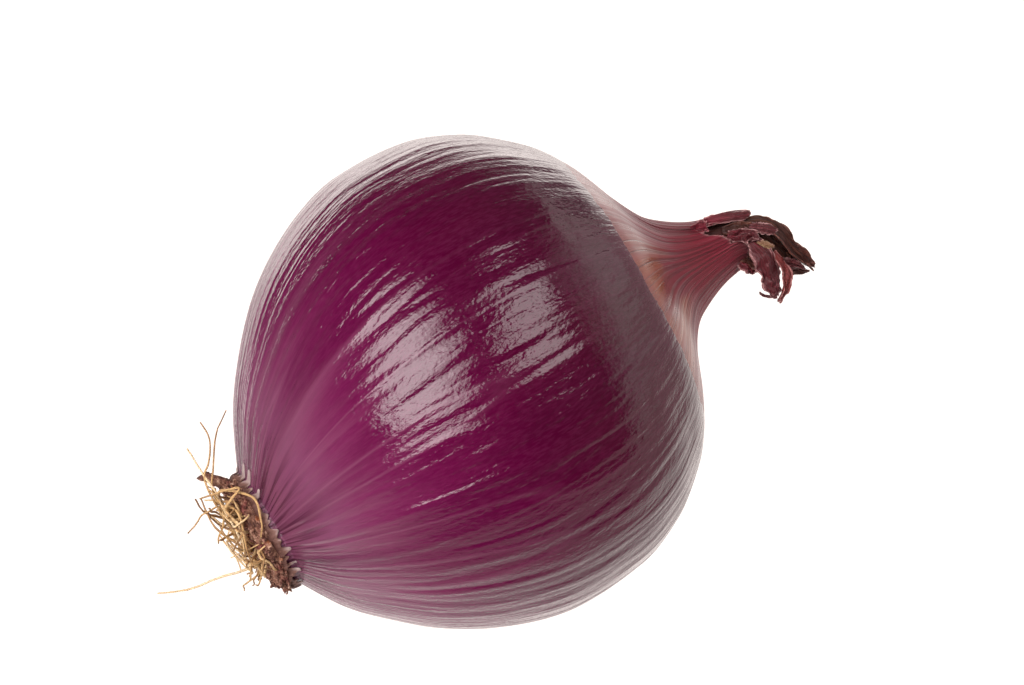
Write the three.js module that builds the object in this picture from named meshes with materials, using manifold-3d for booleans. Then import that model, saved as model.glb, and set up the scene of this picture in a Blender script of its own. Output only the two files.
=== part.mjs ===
// A whole red onion lying on its side: the peeled glossy bulb, the cap of dry papery skin left round
// its neck, the dried inner leaves that come out of the neck, a collar of torn skin round the root
// end, the root plate and its dry roots.
// Millimetres, +Z up. The onion's axis runs along +X from the roots to the neck, and the bulb rests
// on a small flat spot at Z = 0, with the origin below the middle of the whole onion.
import * as THREE from "three";
import { mergeVertices } from "three/addons/utils/BufferGeometryUtils.js";
import Module from "manifold-3d";

const wasm = await Module();
wasm.setup();

// Driving dimensions. Places along the onion are distances from its root ring, called stations.
const widestRadius = 40;
const widestStation = 41;
const flatSpotDepth = 0.5;
const ribCount = 36;
const columnsRound = 2 * ribCount; // one column on each rib and one in each groove
const facingAngle = degrees(19); // the side that faces up and a little to -Y
const rootShift = 4.6; // the root ring sits this far to the leaning side of the bulb's middle
const rootShiftReach = 13.5;
const shoulderShift = 0.6;
const neckShift = 0.9;
const bendStation = 87.5; // the neck starts to bend here
const bendRadius = 10;
const bendAngle = degrees(72);
const capStation = 70; // mean station of the papery cap's torn lower edge
const capTilt = 4.5; // the edge lies lower on the facing side
const capWall = 0.65;
const capLift = 0.3; // how far the cap's outside stands above the bulb's outline
const clearGap = 0.35; // left between neighbouring pieces
const coreEnd = 83; // the bulb's own neck ends here, inside the cap

// The outline as [station, radius]: the root ring, the round of the bulb, its shoulder and its neck.
const outline = new THREE.SplineCurve(
  [
    [0, 10],
    [4.4, 18.1],
    [9.3, 24.2],
    [16, 30.7],
    [24, 35.8],
    [33, 39.2],
    [widestStation, widestRadius],
    [50, 39.1],
    [57, 36.4],
    [62, 32.9],
    [66.5, 28.7],
    [69.8, 23.7],
    [73.5, 16.2],
    [77, 10.8],
    [80.3, 8.1],
    [85, 5.8],
    [90, 4.8],
    [98, 4.4],
  ].map(([station, radius]) => new THREE.Vector2(station, radius)),
);
const outlineTable = outline.getPoints(680);

const colours = {
  bulb: { color: 0x7a1f4f, roughness: 0.28 },
  cap: { color: 0x85353f, roughness: 0.5 },
  leaves: { color: 0x5b3e36, roughness: 0.75 },
  collar: { color: 0xcbb3a6, roughness: 0.8 },
  plate: { color: 0x70493c, roughness: 0.9 },
  roots: { color: 0xc79d74, roughness: 0.8 },
};

function degrees(angle) {
  return (angle * Math.PI) / 180;
}

// The same draws every time, from 0 to 1.
function seededDraws(seed) {
  let state = seed;
  return () => {
    state = (state * 1664525 + 1013904223) % 4294967296;
    return state / 4294967296;
  };
}

function smoothStep(low, high, value) {
  const share = Math.min(1, Math.max(0, (value - low) / (high - low)));
  return share * share * (3 - 2 * share);
}

// A direction round the axis: angle 0 is straight up and a quarter turn is -Y.
function around(angle) {
  return new THREE.Vector3(0, -Math.sin(angle), Math.cos(angle));
}

const axisDirection = new THREE.Vector3(1, 0, 0);
const facingDirection = around(facingAngle);
const leanDirection = around(facingAngle + Math.PI / 2);

// A place or direction given along the axis, towards the leaning side and towards the facing side.
function leanPoint([x, lean, height]) {
  return new THREE.Vector3(x, 0, 0)
    .addScaledVector(leanDirection, lean)
    .addScaledVector(facingDirection, height);
}

// How far the middle of the onion is off its straight axis, towards the leaning side.
function leanAt(station) {
  const rootPart = rootShift * Math.exp(-Math.max(0, station) / rootShiftReach);
  const shoulderPart = shoulderShift * Math.exp(-(((station - 72) / 5) ** 2));
  return rootPart - shoulderPart + neckShift * smoothStep(72, 88, station);
}

// The middle of the onion at a station, and how far its axis has turned towards the leaning side.
function axisAt(station) {
  if (station <= bendStation) return { centre: leanPoint([station, leanAt(station), 0]), bend: 0 };
  const along = station - bendStation;
  const arcLength = bendRadius * bendAngle;
  const bend = Math.min(along, arcLength) / bendRadius;
  const beyond = Math.max(0, along - arcLength);
  const x = bendStation + bendRadius * Math.sin(bend) + beyond * Math.cos(bend);
  const lean = bendRadius * (1 - Math.cos(bend)) + beyond * Math.sin(bend);
  return { centre: leanPoint([x, leanAt(bendStation) + lean, 0]), bend };
}

// The point at a station, an angle round the axis and a radius from it.
function onionPoint(station, angle, radius) {
  const { centre, bend } = axisAt(station);
  const turn = angle - facingAngle;
  const outward = leanDirection.clone().multiplyScalar(Math.cos(bend));
  outward.addScaledVector(axisDirection, -Math.sin(bend));
  return centre
    .addScaledVector(facingDirection, radius * Math.cos(turn))
    .addScaledVector(outward, radius * Math.sin(turn));
}

// Low lengthwise ribs, strongest beside the root ring and on the neck.
function ribHeight(station, angle) {
  const strength =
    0.09 + 0.3 * Math.exp(-Math.abs(station) / 15) + 0.1 * smoothStep(66, 82, station);
  return strength * (0.75 + 0.25 * Math.sin(5 * angle)) * Math.cos(ribCount * angle);
}

// The bulb isn't quite round.
function outOfRound(angle) {
  return 0.2 * Math.cos(2 * angle - 0.6) + 0.15 * Math.cos(3 * angle + 1.1);
}

// Where the outline passes a station, as a share of its length.
function shareAt(station) {
  const index = outlineTable.findIndex((point) => point.x >= station);
  if (index <= 0) return index === 0 ? 0 : 1;
  const [before, after] = [outlineTable[index - 1], outlineTable[index]];
  const between = (station - before.x) / (after.x - before.x);
  return (index - 1 + between) / (outlineTable.length - 1);
}

// A point of the onion's skin: a share along the outline, lifted off it by some millimetres.
function skinPoint(share, angle, lift) {
  const point = outline.getPoint(share);
  const tangent = outline.getTangent(share);
  const station = point.x - lift * tangent.y;
  const plain = point.y + lift * tangent.x + ribHeight(point.x, angle);
  const radius = plain + outOfRound(angle) * smoothStep(0, widestRadius, plain);
  return onionPoint(station, angle, radius);
}

// The torn lower edge of the cap, as a station for each angle.
function capEdge(angle) {
  const wander = 0.35 * Math.sin(3 * angle + 0.5) + 0.2 * Math.sin(7 * angle + 2);
  return capStation - capTilt * Math.cos(angle - facingAngle) + wander;
}

// The cap's torn upper end: a long flap on the upper side, a tear beside it that opens the neck to
// the facing side, and a front lip that runs on round the leaning side.
function capRim(angle) {
  const turn = THREE.MathUtils.radToDeg(angle - facingAngle);
  const side = THREE.MathUtils.euclideanModulo(turn + 180, 360) - 180;
  const ragged = 0.4 * Math.sin(9 * angle) + 0.25 * Math.sin(17 * angle + 1);
  const flap = 7.4 * smoothStep(-54, -48, -Math.abs(side + 93));
  const lip = 3.6 * smoothStep(-48, 2, side) + 3.4 * smoothStep(2, 14, side);
  const far = 2.4 * smoothStep(105, 135, side);
  return side < -45 ? 84.5 + flap + ragged : 84.2 + lip - far + ragged;
}

// A closed surface from rings of points. Each ring has the same number of points, in turn.
function closedSurface(rings, joinsUp) {
  const positions = rings.flat().flatMap((point) => [point.x, point.y, point.z]);
  const count = rings[0].length;
  const index = [];
  const lastRing = joinsUp ? rings.length : rings.length - 1;
  for (let row = 0; row < lastRing; row++) {
    const next = (row + 1) % rings.length;
    for (let column = 0; column < count; column++) {
      const beside = (column + 1) % count;
      const corners = [row * count + column, row * count + beside];
      const upper = [next * count + column, next * count + beside];
      index.push(corners[0], corners[1], upper[1], corners[0], upper[1], upper[0]);
    }
  }
  if (!joinsUp) {
    addEnd(positions, index, rings[0], 0, false);
    addEnd(positions, index, rings.at(-1), (rings.length - 1) * count, true);
  }
  return outwardGeometry(positions, index);
}

// Closes an end with a fan round the middle of its ring.
function addEnd(positions, index, ring, first, isLast) {
  const middle = new THREE.Vector3();
  ring.forEach((point) => middle.addScaledVector(point, 1 / ring.length));
  const centre = positions.length / 3;
  positions.push(middle.x, middle.y, middle.z);
  ring.forEach((_, column) => {
    const beside = (column + 1) % ring.length;
    if (isLast) index.push(first + column, first + beside, centre);
    else index.push(first + beside, first + column, centre);
  });
}

// Turns every face round if the surface encloses a negative volume.
function outwardGeometry(positions, index) {
  let volume = 0;
  const corner = (vertex) => new THREE.Vector3().fromArray(positions, 3 * vertex);
  for (let face = 0; face < index.length; face += 3) {
    const [a, b, c] = [0, 1, 2].map((step) => corner(index[face + step]));
    volume += a.dot(b.cross(c));
  }
  if (volume < 0) index.reverse();
  const geometry = new THREE.BufferGeometry();
  geometry.setAttribute("position", new THREE.Float32BufferAttribute(positions, 3));
  geometry.setIndex(index);
  return geometry;
}

function solidFrom(geometry) {
  const merged = mergeVertices(geometry, 1e-4);
  return new wasm.Manifold(
    new wasm.Mesh({
      numProp: 3,
      vertProperties: merged.getAttribute("position").array,
      triVerts: new Uint32Array(merged.getIndex().array),
    }),
  );
}

function geometryFrom(solid) {
  const { vertProperties, triVerts, numProp } = solid.getMesh();
  const positions = [];
  for (let at = 0; at < vertProperties.length; at += numProp) {
    positions.push(vertProperties[at], vertProperties[at + 1], vertProperties[at + 2]);
  }
  const geometry = new THREE.BufferGeometry();
  geometry.setAttribute("position", new THREE.Float32BufferAttribute(positions, 3));
  geometry.setIndex([...triVerts]);
  return geometry;
}

// Joins closed geometries into one body, and drops any scrap that touches nothing.
function fuse(geometries) {
  const joined = geometries.map(solidFrom).reduce((whole, piece) => whole.add(piece));
  return joined.decompose().reduce((best, body) => (body.volume() > best.volume() ? body : best));
}

// The angles of the columns round the onion.
function columnAngles(count) {
  return Array.from({ length: count }, (_, column) => (2 * Math.PI * column) / count);
}

// The bulb: full size up to the cap's torn edge, then stepped in below the cap, up to the end of
// its own neck. A flat spot is cut where it rests.
function makeBulb() {
  const openRows = 20;
  const coveredRows = 5;
  const angles = columnAngles(columnsRound);
  const rings = [];
  for (let row = 0; row <= openRows; row++) {
    rings.push(angles.map((angle) => skinPoint((shareAt(capEdge(angle)) * row) / openRows, angle, 0)));
  }
  const coreLift = capLift - capWall - clearGap;
  for (let row = 0; row <= coveredRows; row++) {
    rings.push(
      angles.map((angle) => {
        const start = shareAt(capEdge(angle) + clearGap);
        return skinPoint(THREE.MathUtils.lerp(start, shareAt(coreEnd), row / coveredRows), angle, coreLift);
      }),
    );
  }
  const floorSlab = new THREE.BoxGeometry(120, 120, 20);
  floorSlab.translate(widestStation, 0, flatSpotDepth - widestRadius - 10);
  floorSlab.deleteAttribute("normal");
  floorSlab.deleteAttribute("uv");
  return geometryFrom(solidFrom(closedSurface(rings, false)).subtract(solidFrom(floorSlab)));
}

// The papery cap: a thin funnel over the shoulder and the neck, with two torn flaps on its lip.
function makeCap() {
  const rows = 8;
  const angles = columnAngles(columnsRound);
  const wallRings = (lift) =>
    Array.from({ length: rows + 1 }, (_, row) =>
      angles.map((angle) => {
        const start = shareAt(capEdge(angle) + 2 * clearGap);
        return skinPoint(THREE.MathUtils.lerp(start, shareAt(capRim(angle)), row / rows), angle, lift);
      }),
    );
  const funnel = closedSurface([...wallRings(capLift), ...wallRings(capLift - capWall).reverse()], true);
  const hangingFlap = leafBlade({
    path: [
      [89.4, 2, 4.85],
      [91.4, 3.6, 5.2],
      [92.6, 6, 4.5],
      [92.8, 9.4, 3.8],
      [92, 13, 3],
    ],
    widths: [4.4, 5.2, 4.8, 3.6, 1.2],
    across: [0.95, 0, -0.25],
    crumple: 0.6,
    seed: 5,
  });
  const notchFlap = leafBlade({
    path: [
      [88.4, 4.9, 2.9],
      [89.4, 6.4, 3.3],
      [89.4, 8, 2.8],
    ],
    widths: [3.4, 3, 0.9],
    across: [0.9, 0.2, -0.3],
    crumple: 0.4,
    seed: 11,
  });
  return geometryFrom(fuse([funnel, hangingFlap, notchFlap]));
}

const bladeThickness = 0.75;

// A thin torn leaf along a path, crumpled lengthwise, with a ragged outline.
function leafBlade({ path, widths, across, crumple, seed }) {
  const draw = seededDraws(seed);
  const spine = new THREE.CatmullRomCurve3(path.map(leanPoint));
  const widthCurve = new THREE.SplineCurve(widths.map((width, at) => new THREE.Vector2(at, width)));
  const acrossDirection = leanPoint(across).normalize();
  const steps = 8;
  const stripes = 5;
  const rings = [];
  for (let step = 0; step <= steps; step++) {
    const share = step / steps;
    const tangent = spine.getTangentAt(share);
    const sideways = acrossDirection.clone().addScaledVector(tangent, -acrossDirection.dot(tangent));
    sideways.normalize();
    const normal = new THREE.Vector3().crossVectors(tangent, sideways);
    const width = widthCurve.getPoint(share).y * (0.88 + 0.24 * draw());
    const upper = [];
    const lower = [];
    for (let stripe = 0; stripe <= stripes; stripe++) {
      const place = stripe / stripes - 0.5;
      const fold = crumple * share * (Math.sin(stripe * 2.1 + step * 0.7 + seed) + 3 * place * place);
      const at = spine.getPointAt(share).addScaledVector(sideways, place * width);
      upper.push(at.clone().addScaledVector(normal, fold + bladeThickness / 2));
      lower.push(at.clone().addScaledVector(normal, fold - bladeThickness / 2));
    }
    rings.push([...upper, ...lower.reverse()]);
  }
  return bladeSurface(rings);
}

// Each ring of a blade goes along its upper face and back along its lower face. Both faces are split
// into triangles alike, and each end is closed by a strip between them.
function bladeSurface(rings) {
  const count = rings[0].length;
  const positions = rings.flat().flatMap((point) => [point.x, point.y, point.z]);
  const index = [];
  for (let row = 0; row < rings.length - 1; row++) {
    for (let column = 0; column < count; column++) {
      const beside = (column + 1) % count;
      const [a, b] = [row * count + column, row * count + beside];
      const [c, d] = [a + count, b + count];
      if (column >= count / 2) index.push(a, b, c, b, d, c);
      else index.push(a, b, d, a, d, c);
    }
  }
  for (const row of [0, rings.length - 1]) {
    for (let stripe = 0; stripe < count / 2 - 1; stripe++) {
      const quad = [stripe, stripe + 1, count - 2 - stripe, count - 1 - stripe];
      const [a, b, c, d] = quad.map((corner) => row * count + corner);
      if (row === 0) index.push(a, c, b, a, d, c);
      else index.push(a, b, c, a, c, d);
    }
  }
  return outwardGeometry(positions, index);
}

// The dried inner leaves: a pleated bundle, hollowed on the facing side, that fills the neck's open
// end and follows its bend to a thin tip, with two torn leaf ends beside it.
function makeLeaves() {
  const bundle = [
    [83.6, 5.1],
    [87, 4.1],
    [91, 3.5],
    [95, 2.9],
    [99, 2.2],
    [103, 0.8],
  ];
  const radii = new THREE.SplineCurve(bundle.map(([station, radius]) => new THREE.Vector2(station, radius)));
  const rows = 13;
  const pleats = 9;
  const hollowSide = facingAngle + degrees(25);
  const angles = columnAngles(4 * pleats);
  const rings = Array.from({ length: rows + 1 }, (_, row) => {
    const { x: station, y: radius } = radii.getPoint(row / rows);
    const open = smoothStep(84, 93, station);
    return angles.map((angle) => {
      const facing = Math.max(0, Math.cos(angle - hollowSide));
      const pleat = 0.08 * Math.cos(pleats * angle + 0.2 * station) * open;
      const hollow = 0.35 * facing * facing * open;
      return onionPoint(station, angle, radius * (1 + pleat - hollow));
    });
  });
  const tornEnds = [
    {
      path: [
        [94, 4.6, 1],
        [96, 6.6, 2.4],
        [96.4, 9.6, 2.2],
      ],
      widths: [3, 2.6, 0.9],
      across: [0.8, -0.2, -0.4],
      crumple: 0.2,
      seed: 3,
    },
    {
      path: [
        [91.2, 1.2, 2.4],
        [93.4, 2, 3.2],
        [95.6, 3.4, 2.8],
      ],
      widths: [2, 2.4, 0.9],
      across: [-0.4, 0.9, 0],
      crumple: 0.2,
      seed: 8,
    },
  ];
  return geometryFrom(fuse([closedSurface(rings, false), ...tornEnds.map(leafBlade)]));
}

const collarDisc = 0.8; // thickness of the disc that carries the collar's teeth
const plateFace = -collarDisc - 2 * clearGap;
const plateHeight = 2.5;
const crownFace = plateFace - plateHeight - clearGap;

// The collar: a thin disc between the bulb and the root plate, whose turned-up rim ends in pale torn
// teeth that lie over the edge of the bulb.
function makeCollar() {
  const draw = seededDraws(21);
  const teeth = 26;
  const angles = columnAngles(2 * teeth);
  const toothReach = angles.map((_, column) => (column % 2 ? 0.1 : 0.5 + 0.6 * draw()));
  const skinRadius = (station, angle) => outline.getPoint(shareAt(station)).y + ribHeight(station, angle);
  const profile = [
    () => [-clearGap, 3],
    () => [-clearGap, 9.4],
    (angle) => [-0.15, skinRadius(0, angle) + 0.5],
    (angle, reach) => [reach, skinRadius(reach, angle) + 0.55],
    (angle, reach) => [reach - 0.15, skinRadius(reach, angle) + 1.05],
    (angle) => [-0.8, skinRadius(0, angle) + 0.75],
    () => [-clearGap - collarDisc, 9.8],
    () => [-clearGap - collarDisc, 3],
  ];
  const rings = profile.map((place) =>
    angles.map((angle, column) => {
      const [station, radius] = place(angle, toothReach[column]);
      return onionPoint(station, angle, radius);
    }),
  );
  return closedSurface(rings, false);
}

// The root plate: a low corky dome, rough all over, with torn flakes standing out round it.
function makePlate() {
  const rows = [
    [plateFace, 9.4],
    [plateFace - 0.8, 10],
    [plateFace - 1.5, 8.8],
    [plateFace - 2, 7],
    [plateFace - 2.3, 5],
    [plateFace - plateHeight, 2.6],
  ];
  const draw = seededDraws(7);
  const angles = columnAngles(36);
  const rings = rows.map(([station, radius], row) =>
    angles.map((angle) => {
      const rough = row === 0 ? 0 : 0.7 * (draw() - 0.5);
      const depth = row === 0 ? 0 : 0.3 * (draw() - 0.5);
      return onionPoint(station + depth, angle, radius + rough);
    }),
  );
  const pieces = [closedSurface(rings, false)];
  const flakes = 20;
  for (let flake = 0; flake < flakes; flake++) {
    const angle = (2 * Math.PI * (flake + 0.6 * draw())) / flakes;
    pieces.push(plateFlake(angle, 1.3 + 1.1 * draw(), 0.9 * draw(), 0.12 + 0.08 * draw()));
  }
  const nubAngle = facingAngle - degrees(80);
  pieces.push(plateFlake(nubAngle, 4.2, 4, 0.13));
  return geometryFrom(fuse(pieces));
}

// A torn flake, sunk in the plate at its root and free at its ragged tip.
function plateFlake(angle, out, drop, halfWidth) {
  const from = 8.8;
  const base = plateFace - 0.3;
  const section = (station, radius, half) =>
    [
      [-half, 0],
      [half, 0.1],
      [half * 0.8, 0.9],
      [-half * 0.9, 0.8],
    ].map(([turn, thick]) => onionPoint(station - thick, angle + turn, radius));
  return closedSurface(
    [
      section(base, from - 1.4, halfWidth),
      section(base - drop * 0.4, from + out * 0.5, halfWidth),
      section(base - drop, from + out, halfWidth * 0.35),
    ],
    false,
  );
}

// The dry roots that stand out most: places on the way of each one as its distance along the axis,
// and towards the leaning and the facing side of the root ring's middle.
const longRoots = [
  [[-5.2, -1, 2], [-5.4, -7, 4.5], [-5.2, -9.8, 5], [-3.2, -13.3, 5], [0.2, -18, 4.5], [2.8, -19.6, 4]],
  [[-5.4, -1, 2], [-6, -8, 5], [-5.4, -12, 5], [-3.5, -14, 5], [-1.6, -17.6, 4.5], [-1.6, -20.1, 4]],
  [[-5.3, 2, 3], [-5.3, -1.8, 5.4], [-5.3, -6, 5.8], [-5.3, -10, 5.4], [-5.5, -14.4, 4.5], [-5.7, -17.5, 4]],
  [[-5.4, -2, 2], [-5.6, -6.7, 4.5], [-6.9, -7.2, 4.5], [-9.2, -6.9, 4], [-11.9, -5.7, 3.5]],
  [[-5.4, -2, 3], [-5.9, -4.6, 4.6], [-7, -3.8, 4.8], [-8.7, -1.9, 4]],
  [[-5.4, -1, 2], [-7.2, -1.4, 3.5], [-7.5, 0.1, 3.5], [-7, 2.7, 4], [-6.3, 4.7, 4.3]],
  [[-5.3, 1.5, 2], [-5.9, 3.7, 3.4], [-9.9, 3, 2.5], [-16.2, 1.9, 1.5], [-20.7, 0.3, 0.8]],
  [[-5.3, 1.9, 3], [-6, -0.3, 4.4], [-7.5, -3.5, 4.4], [-7.9, -7.2, 4], [-7.5, -9.6, 3.6]],
];
const rootThickness = 0.85;

// The roots: a small crown against the plate, and dry fibres that curl out of it on every side.
function makeRoots() {
  const draw = seededDraws(33);
  const crownRows = [
    [crownFace, 4.8],
    [crownFace - 0.8, 5],
    [crownFace - 1.5, 3.6],
    [crownFace - 1.9, 1.4],
  ];
  const angles = columnAngles(14);
  const crown = crownRows.map(([station, radius]) =>
    angles.map((angle) => onionPoint(station, angle, radius * (0.9 + 0.2 * draw()))),
  );
  const pieces = [closedSurface(crown, false)];
  for (const way of longRoots) {
    pieces.push(rootFibre(way.map(([x, across, height]) => leanPoint([x, rootShift + across, height]))));
  }
  const shortRoots = 18;
  for (let root = 0; root < shortRoots; root++) {
    const angle = (2 * Math.PI * (root + 0.6 * draw())) / shortRoots;
    const curl = angle + 1.6 * (draw() - 0.5);
    const leaning = Math.max(0, Math.cos(angle - facingAngle - degrees(80)));
    const length = (3 + 4.5 * draw()) * (1 - 0.65 * leaning);
    const tip = crownFace - 1.6 - 3.6 * draw();
    pieces.push(
      rootFibre([
        onionPoint(crownFace - 0.8, angle, 2.8),
        onionPoint(crownFace - 1.8, angle, 4.6),
        onionPoint(tip - 0.8, (angle + curl) / 2, 4.6 + length * 0.5),
        onionPoint(tip, curl, 4.6 + length),
      ]),
    );
  }
  return geometryFrom(fuse(pieces));
}

// A three-sided fibre along a smooth way, thinning to its tip.
function rootFibre(way) {
  const curve = new THREE.CatmullRomCurve3(way);
  const steps = 7;
  const frames = curve.computeFrenetFrames(steps, false);
  const rings = [];
  for (let step = 0; step <= steps; step++) {
    const share = step / steps;
    const radius = (rootThickness / 2) * (1 - 0.2 * share);
    const centre = curve.getPointAt(share);
    rings.push(
      columnAngles(3).map((turn) =>
        centre
          .clone()
          .addScaledVector(frames.normals[step], radius * Math.cos(turn))
          .addScaledVector(frames.binormals[step], radius * Math.sin(turn)),
      ),
    );
  }
  return closedSurface(rings, false);
}

function namedMesh(name, geometry, finish) {
  const mesh = new THREE.Mesh(geometry, new THREE.MeshStandardMaterial({ ...finish, metalness: 0 }));
  mesh.name = name;
  return mesh;
}

const onion = new THREE.Group();
onion.add(
  namedMesh("bulb", makeBulb(), colours.bulb),
  namedMesh("papery_cap", makeCap(), colours.cap),
  namedMesh("dry_leaves", makeLeaves(), colours.leaves),
  namedMesh("skin_collar", makeCollar(), colours.collar),
  namedMesh("root_plate", makePlate(), colours.plate),
  namedMesh("roots", makeRoots(), colours.roots),
);

// The origin goes below the middle of the whole onion, on the floor.
const extent = new THREE.Box3().setFromObject(onion);
const middle = extent.getCenter(new THREE.Vector3());
onion.position.set(-middle.x, -middle.y, widestRadius - flatSpotDepth);

export default onion;
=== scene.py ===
import math
import random

import bpy
import numpy as np
from mathutils import Matrix, Vector


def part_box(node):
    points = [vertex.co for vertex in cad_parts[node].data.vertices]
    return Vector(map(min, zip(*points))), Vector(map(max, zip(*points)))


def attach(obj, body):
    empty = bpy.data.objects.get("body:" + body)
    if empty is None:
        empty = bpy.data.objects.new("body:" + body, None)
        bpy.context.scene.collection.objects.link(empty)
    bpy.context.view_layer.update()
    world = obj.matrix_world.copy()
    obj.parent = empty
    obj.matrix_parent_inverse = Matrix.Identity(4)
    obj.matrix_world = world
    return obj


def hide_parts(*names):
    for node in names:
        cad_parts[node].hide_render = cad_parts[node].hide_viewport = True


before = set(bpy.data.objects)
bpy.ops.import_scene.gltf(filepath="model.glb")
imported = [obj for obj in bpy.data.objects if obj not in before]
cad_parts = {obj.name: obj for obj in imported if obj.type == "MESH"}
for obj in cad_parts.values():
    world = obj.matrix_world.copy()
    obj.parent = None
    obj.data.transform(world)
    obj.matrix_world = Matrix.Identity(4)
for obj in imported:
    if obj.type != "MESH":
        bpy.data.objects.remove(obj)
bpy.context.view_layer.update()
print("onion: frame loaded")

mm = 0.001

# The form that every piece follows, in millimetres. Stations are distances along the axis from the
# root ring, and the outline gives the radius at each.
form = {
    "widestRadius": 40.0,
    "flatSpotDepth": 0.5,
    "facingAngle": math.radians(19),  # the side that faces up and a little to -Y
    "rootShift": 4.6,
    "rootShiftReach": 13.5,
    "shoulderShift": 0.6,
    "neckShift": 0.9,
    "bendStation": 87.5,
    "bendRadius": 10.0,
    "bendAngle": math.radians(72),
    "capStation": 70.0,
    "capTilt": 4.5,
    "outline": [
        (0, 10), (4.4, 18.1), (9.3, 24.2), (16, 30.7), (24, 35.8), (33, 39.2), (41, 40), (50, 39.1),
        (57, 36.4), (62, 32.9), (66.5, 28.7), (69.8, 23.7), (73.5, 16.2), (77, 10.8), (80.3, 8.1),
        (85, 5.8), (90, 4.8), (98, 4.4),
    ],
}
facingAngle = form["facingAngle"]


def smoothStep(low, high, value):
    share = np.clip((np.asarray(value, float) - low) / (high - low), 0, 1)
    return share * share * (3 - 2 * share)


# A smooth curve through points, at a share of the way from the first to the last.
def splineAt(points, share):
    points = np.asarray(points, float)
    last = len(points) - 1
    place = np.clip(np.asarray(share, float), 0, 1) * last
    first = np.minimum(place.astype(int), last - 1)
    step = (place - first)[..., None]
    before, start = points[np.maximum(first - 1, 0)], points[first]
    end, after = points[first + 1], points[np.minimum(first + 2, last)]
    leave, arrive = (end - before) / 2, (after - start) / 2
    cubic = (2 * start - 2 * end + leave + arrive) * step**3
    return cubic + (3 * end - 3 * start - 2 * leave - arrive) * step**2 + leave * step + start


outlineShares = np.linspace(0, 1, 681)
outlineTable = splineAt(form["outline"], outlineShares)


def shareAt(station):
    return np.interp(station, outlineTable[:, 0], outlineShares)


def stationAt(share):
    return splineAt(form["outline"], share)[..., 0]


def outlineRadius(station):
    return np.interp(station, outlineTable[:, 0], outlineTable[:, 1])


def leanAt(station):
    rootPart = form["rootShift"] * np.exp(-np.maximum(0, station) / form["rootShiftReach"])
    shoulderPart = form["shoulderShift"] * np.exp(-(((station - 72) / 5) ** 2))
    return rootPart - shoulderPart + form["neckShift"] * smoothStep(72, 88, station)


originShift = Vector((0, 0, 0))  # from the root ring's axis to the frame's origin, in millimetres


# Places given along the axis, towards the leaning side and towards the facing side, in the frame.
def leanPlaces(along, lean, height):
    across = -lean * math.cos(facingAngle) - height * math.sin(facingAngle)
    up = -lean * math.sin(facingAngle) + height * math.cos(facingAngle)
    places = np.broadcast_arrays(along + originShift.x, across + originShift.y, up + originShift.z)
    return np.stack(places, -1)


# Points at a station, an angle round the axis and a radius from it, where the neck's bend is followed.
def onionPoint(station, angle, radius):
    station, angle, radius = np.broadcast_arrays(
        np.asarray(station, float), np.asarray(angle, float), np.asarray(radius, float))
    bendRadius, bendLength = form["bendRadius"], form["bendRadius"] * form["bendAngle"]
    straight = np.minimum(station, form["bendStation"])
    past = station - straight
    bend = np.minimum(past, bendLength) / bendRadius
    beyond = np.maximum(0, past - bendLength)
    outward = radius * np.sin(angle - facingAngle)
    along = straight + bendRadius * np.sin(bend) + beyond * np.cos(bend) - outward * np.sin(bend)
    lean = leanAt(straight) + bendRadius * (1 - np.cos(bend)) + beyond * np.sin(bend)
    return leanPlaces(along, lean + outward * np.cos(bend), radius * np.cos(angle - facingAngle))


# Points of the skin: a share along the outline, an angle, and a lift off the outline.
def skinPoint(share, angle, lift=0.0):
    share, angle, lift = np.broadcast_arrays(
        np.asarray(share, float), np.asarray(angle, float), np.asarray(lift, float))
    point = splineAt(form["outline"], share)
    slope = splineAt(form["outline"], share + 1e-4) - splineAt(form["outline"], share - 1e-4)
    slope /= np.linalg.norm(slope, axis=-1, keepdims=True)
    station = point[..., 0] - lift * slope[..., 1]
    plain = point[..., 1] + lift * slope[..., 0]
    outOfRound = 0.2 * np.cos(2 * angle - 0.6) + 0.15 * np.cos(3 * angle + 1.1)
    return onionPoint(station, angle, plain + outOfRound * smoothStep(0, form["widestRadius"], plain))


# The frame gives where the root ring and the axis are.
def findOrigin():
    low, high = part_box("bulb")
    ring, angles = np.linspace(0, shareAt(70), 240), np.linspace(0, 2 * math.pi, 360)
    across = skinPoint(ring[:, None], angles[None, :])[..., 1]
    middle = (across.min() + across.max()) / 2
    height = form["widestRadius"] - form["flatSpotDepth"]
    return Vector((low[0] / mm, (low[1] + high[1]) / 2 / mm - middle, height))


originShift = findOrigin()


fieldRows = 512


# A smooth random field from -1 to 1 that joins up round the axis. Both places are in cells.
def field(roundCells, alongCells, countRound, seed):
    source = np.random.default_rng(seed)
    grid = source.uniform(-1, 1, (fieldRows, countRound))
    column, row = np.floor(roundCells).astype(int), np.floor(alongCells).astype(int)
    across, up = smoothStep(0, 1, roundCells - column), smoothStep(0, 1, alongCells - row)

    def corner(upStep, roundStep):
        return grid[(row + upStep) % fieldRows, (column + roundStep) % countRound]

    lower = corner(0, 0) * (1 - across) + corner(0, 1) * across
    upper = corner(1, 0) * (1 - across) + corner(1, 1) * across
    return lower * (1 - up) + upper * up


# A field that only changes round the axis, where the turn is a share of the whole way round.
def ringField(turn, countRound, seed):
    return field(countRound * turn, 0.5, countRound, seed)


# The torn lower edge of the cap and its torn upper end, as stations.
def capEdge(angle):
    wander = 0.35 * np.sin(3 * angle + 0.5) + 0.2 * np.sin(7 * angle + 2)
    return form["capStation"] - form["capTilt"] * np.cos(angle - facingAngle) + wander


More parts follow.
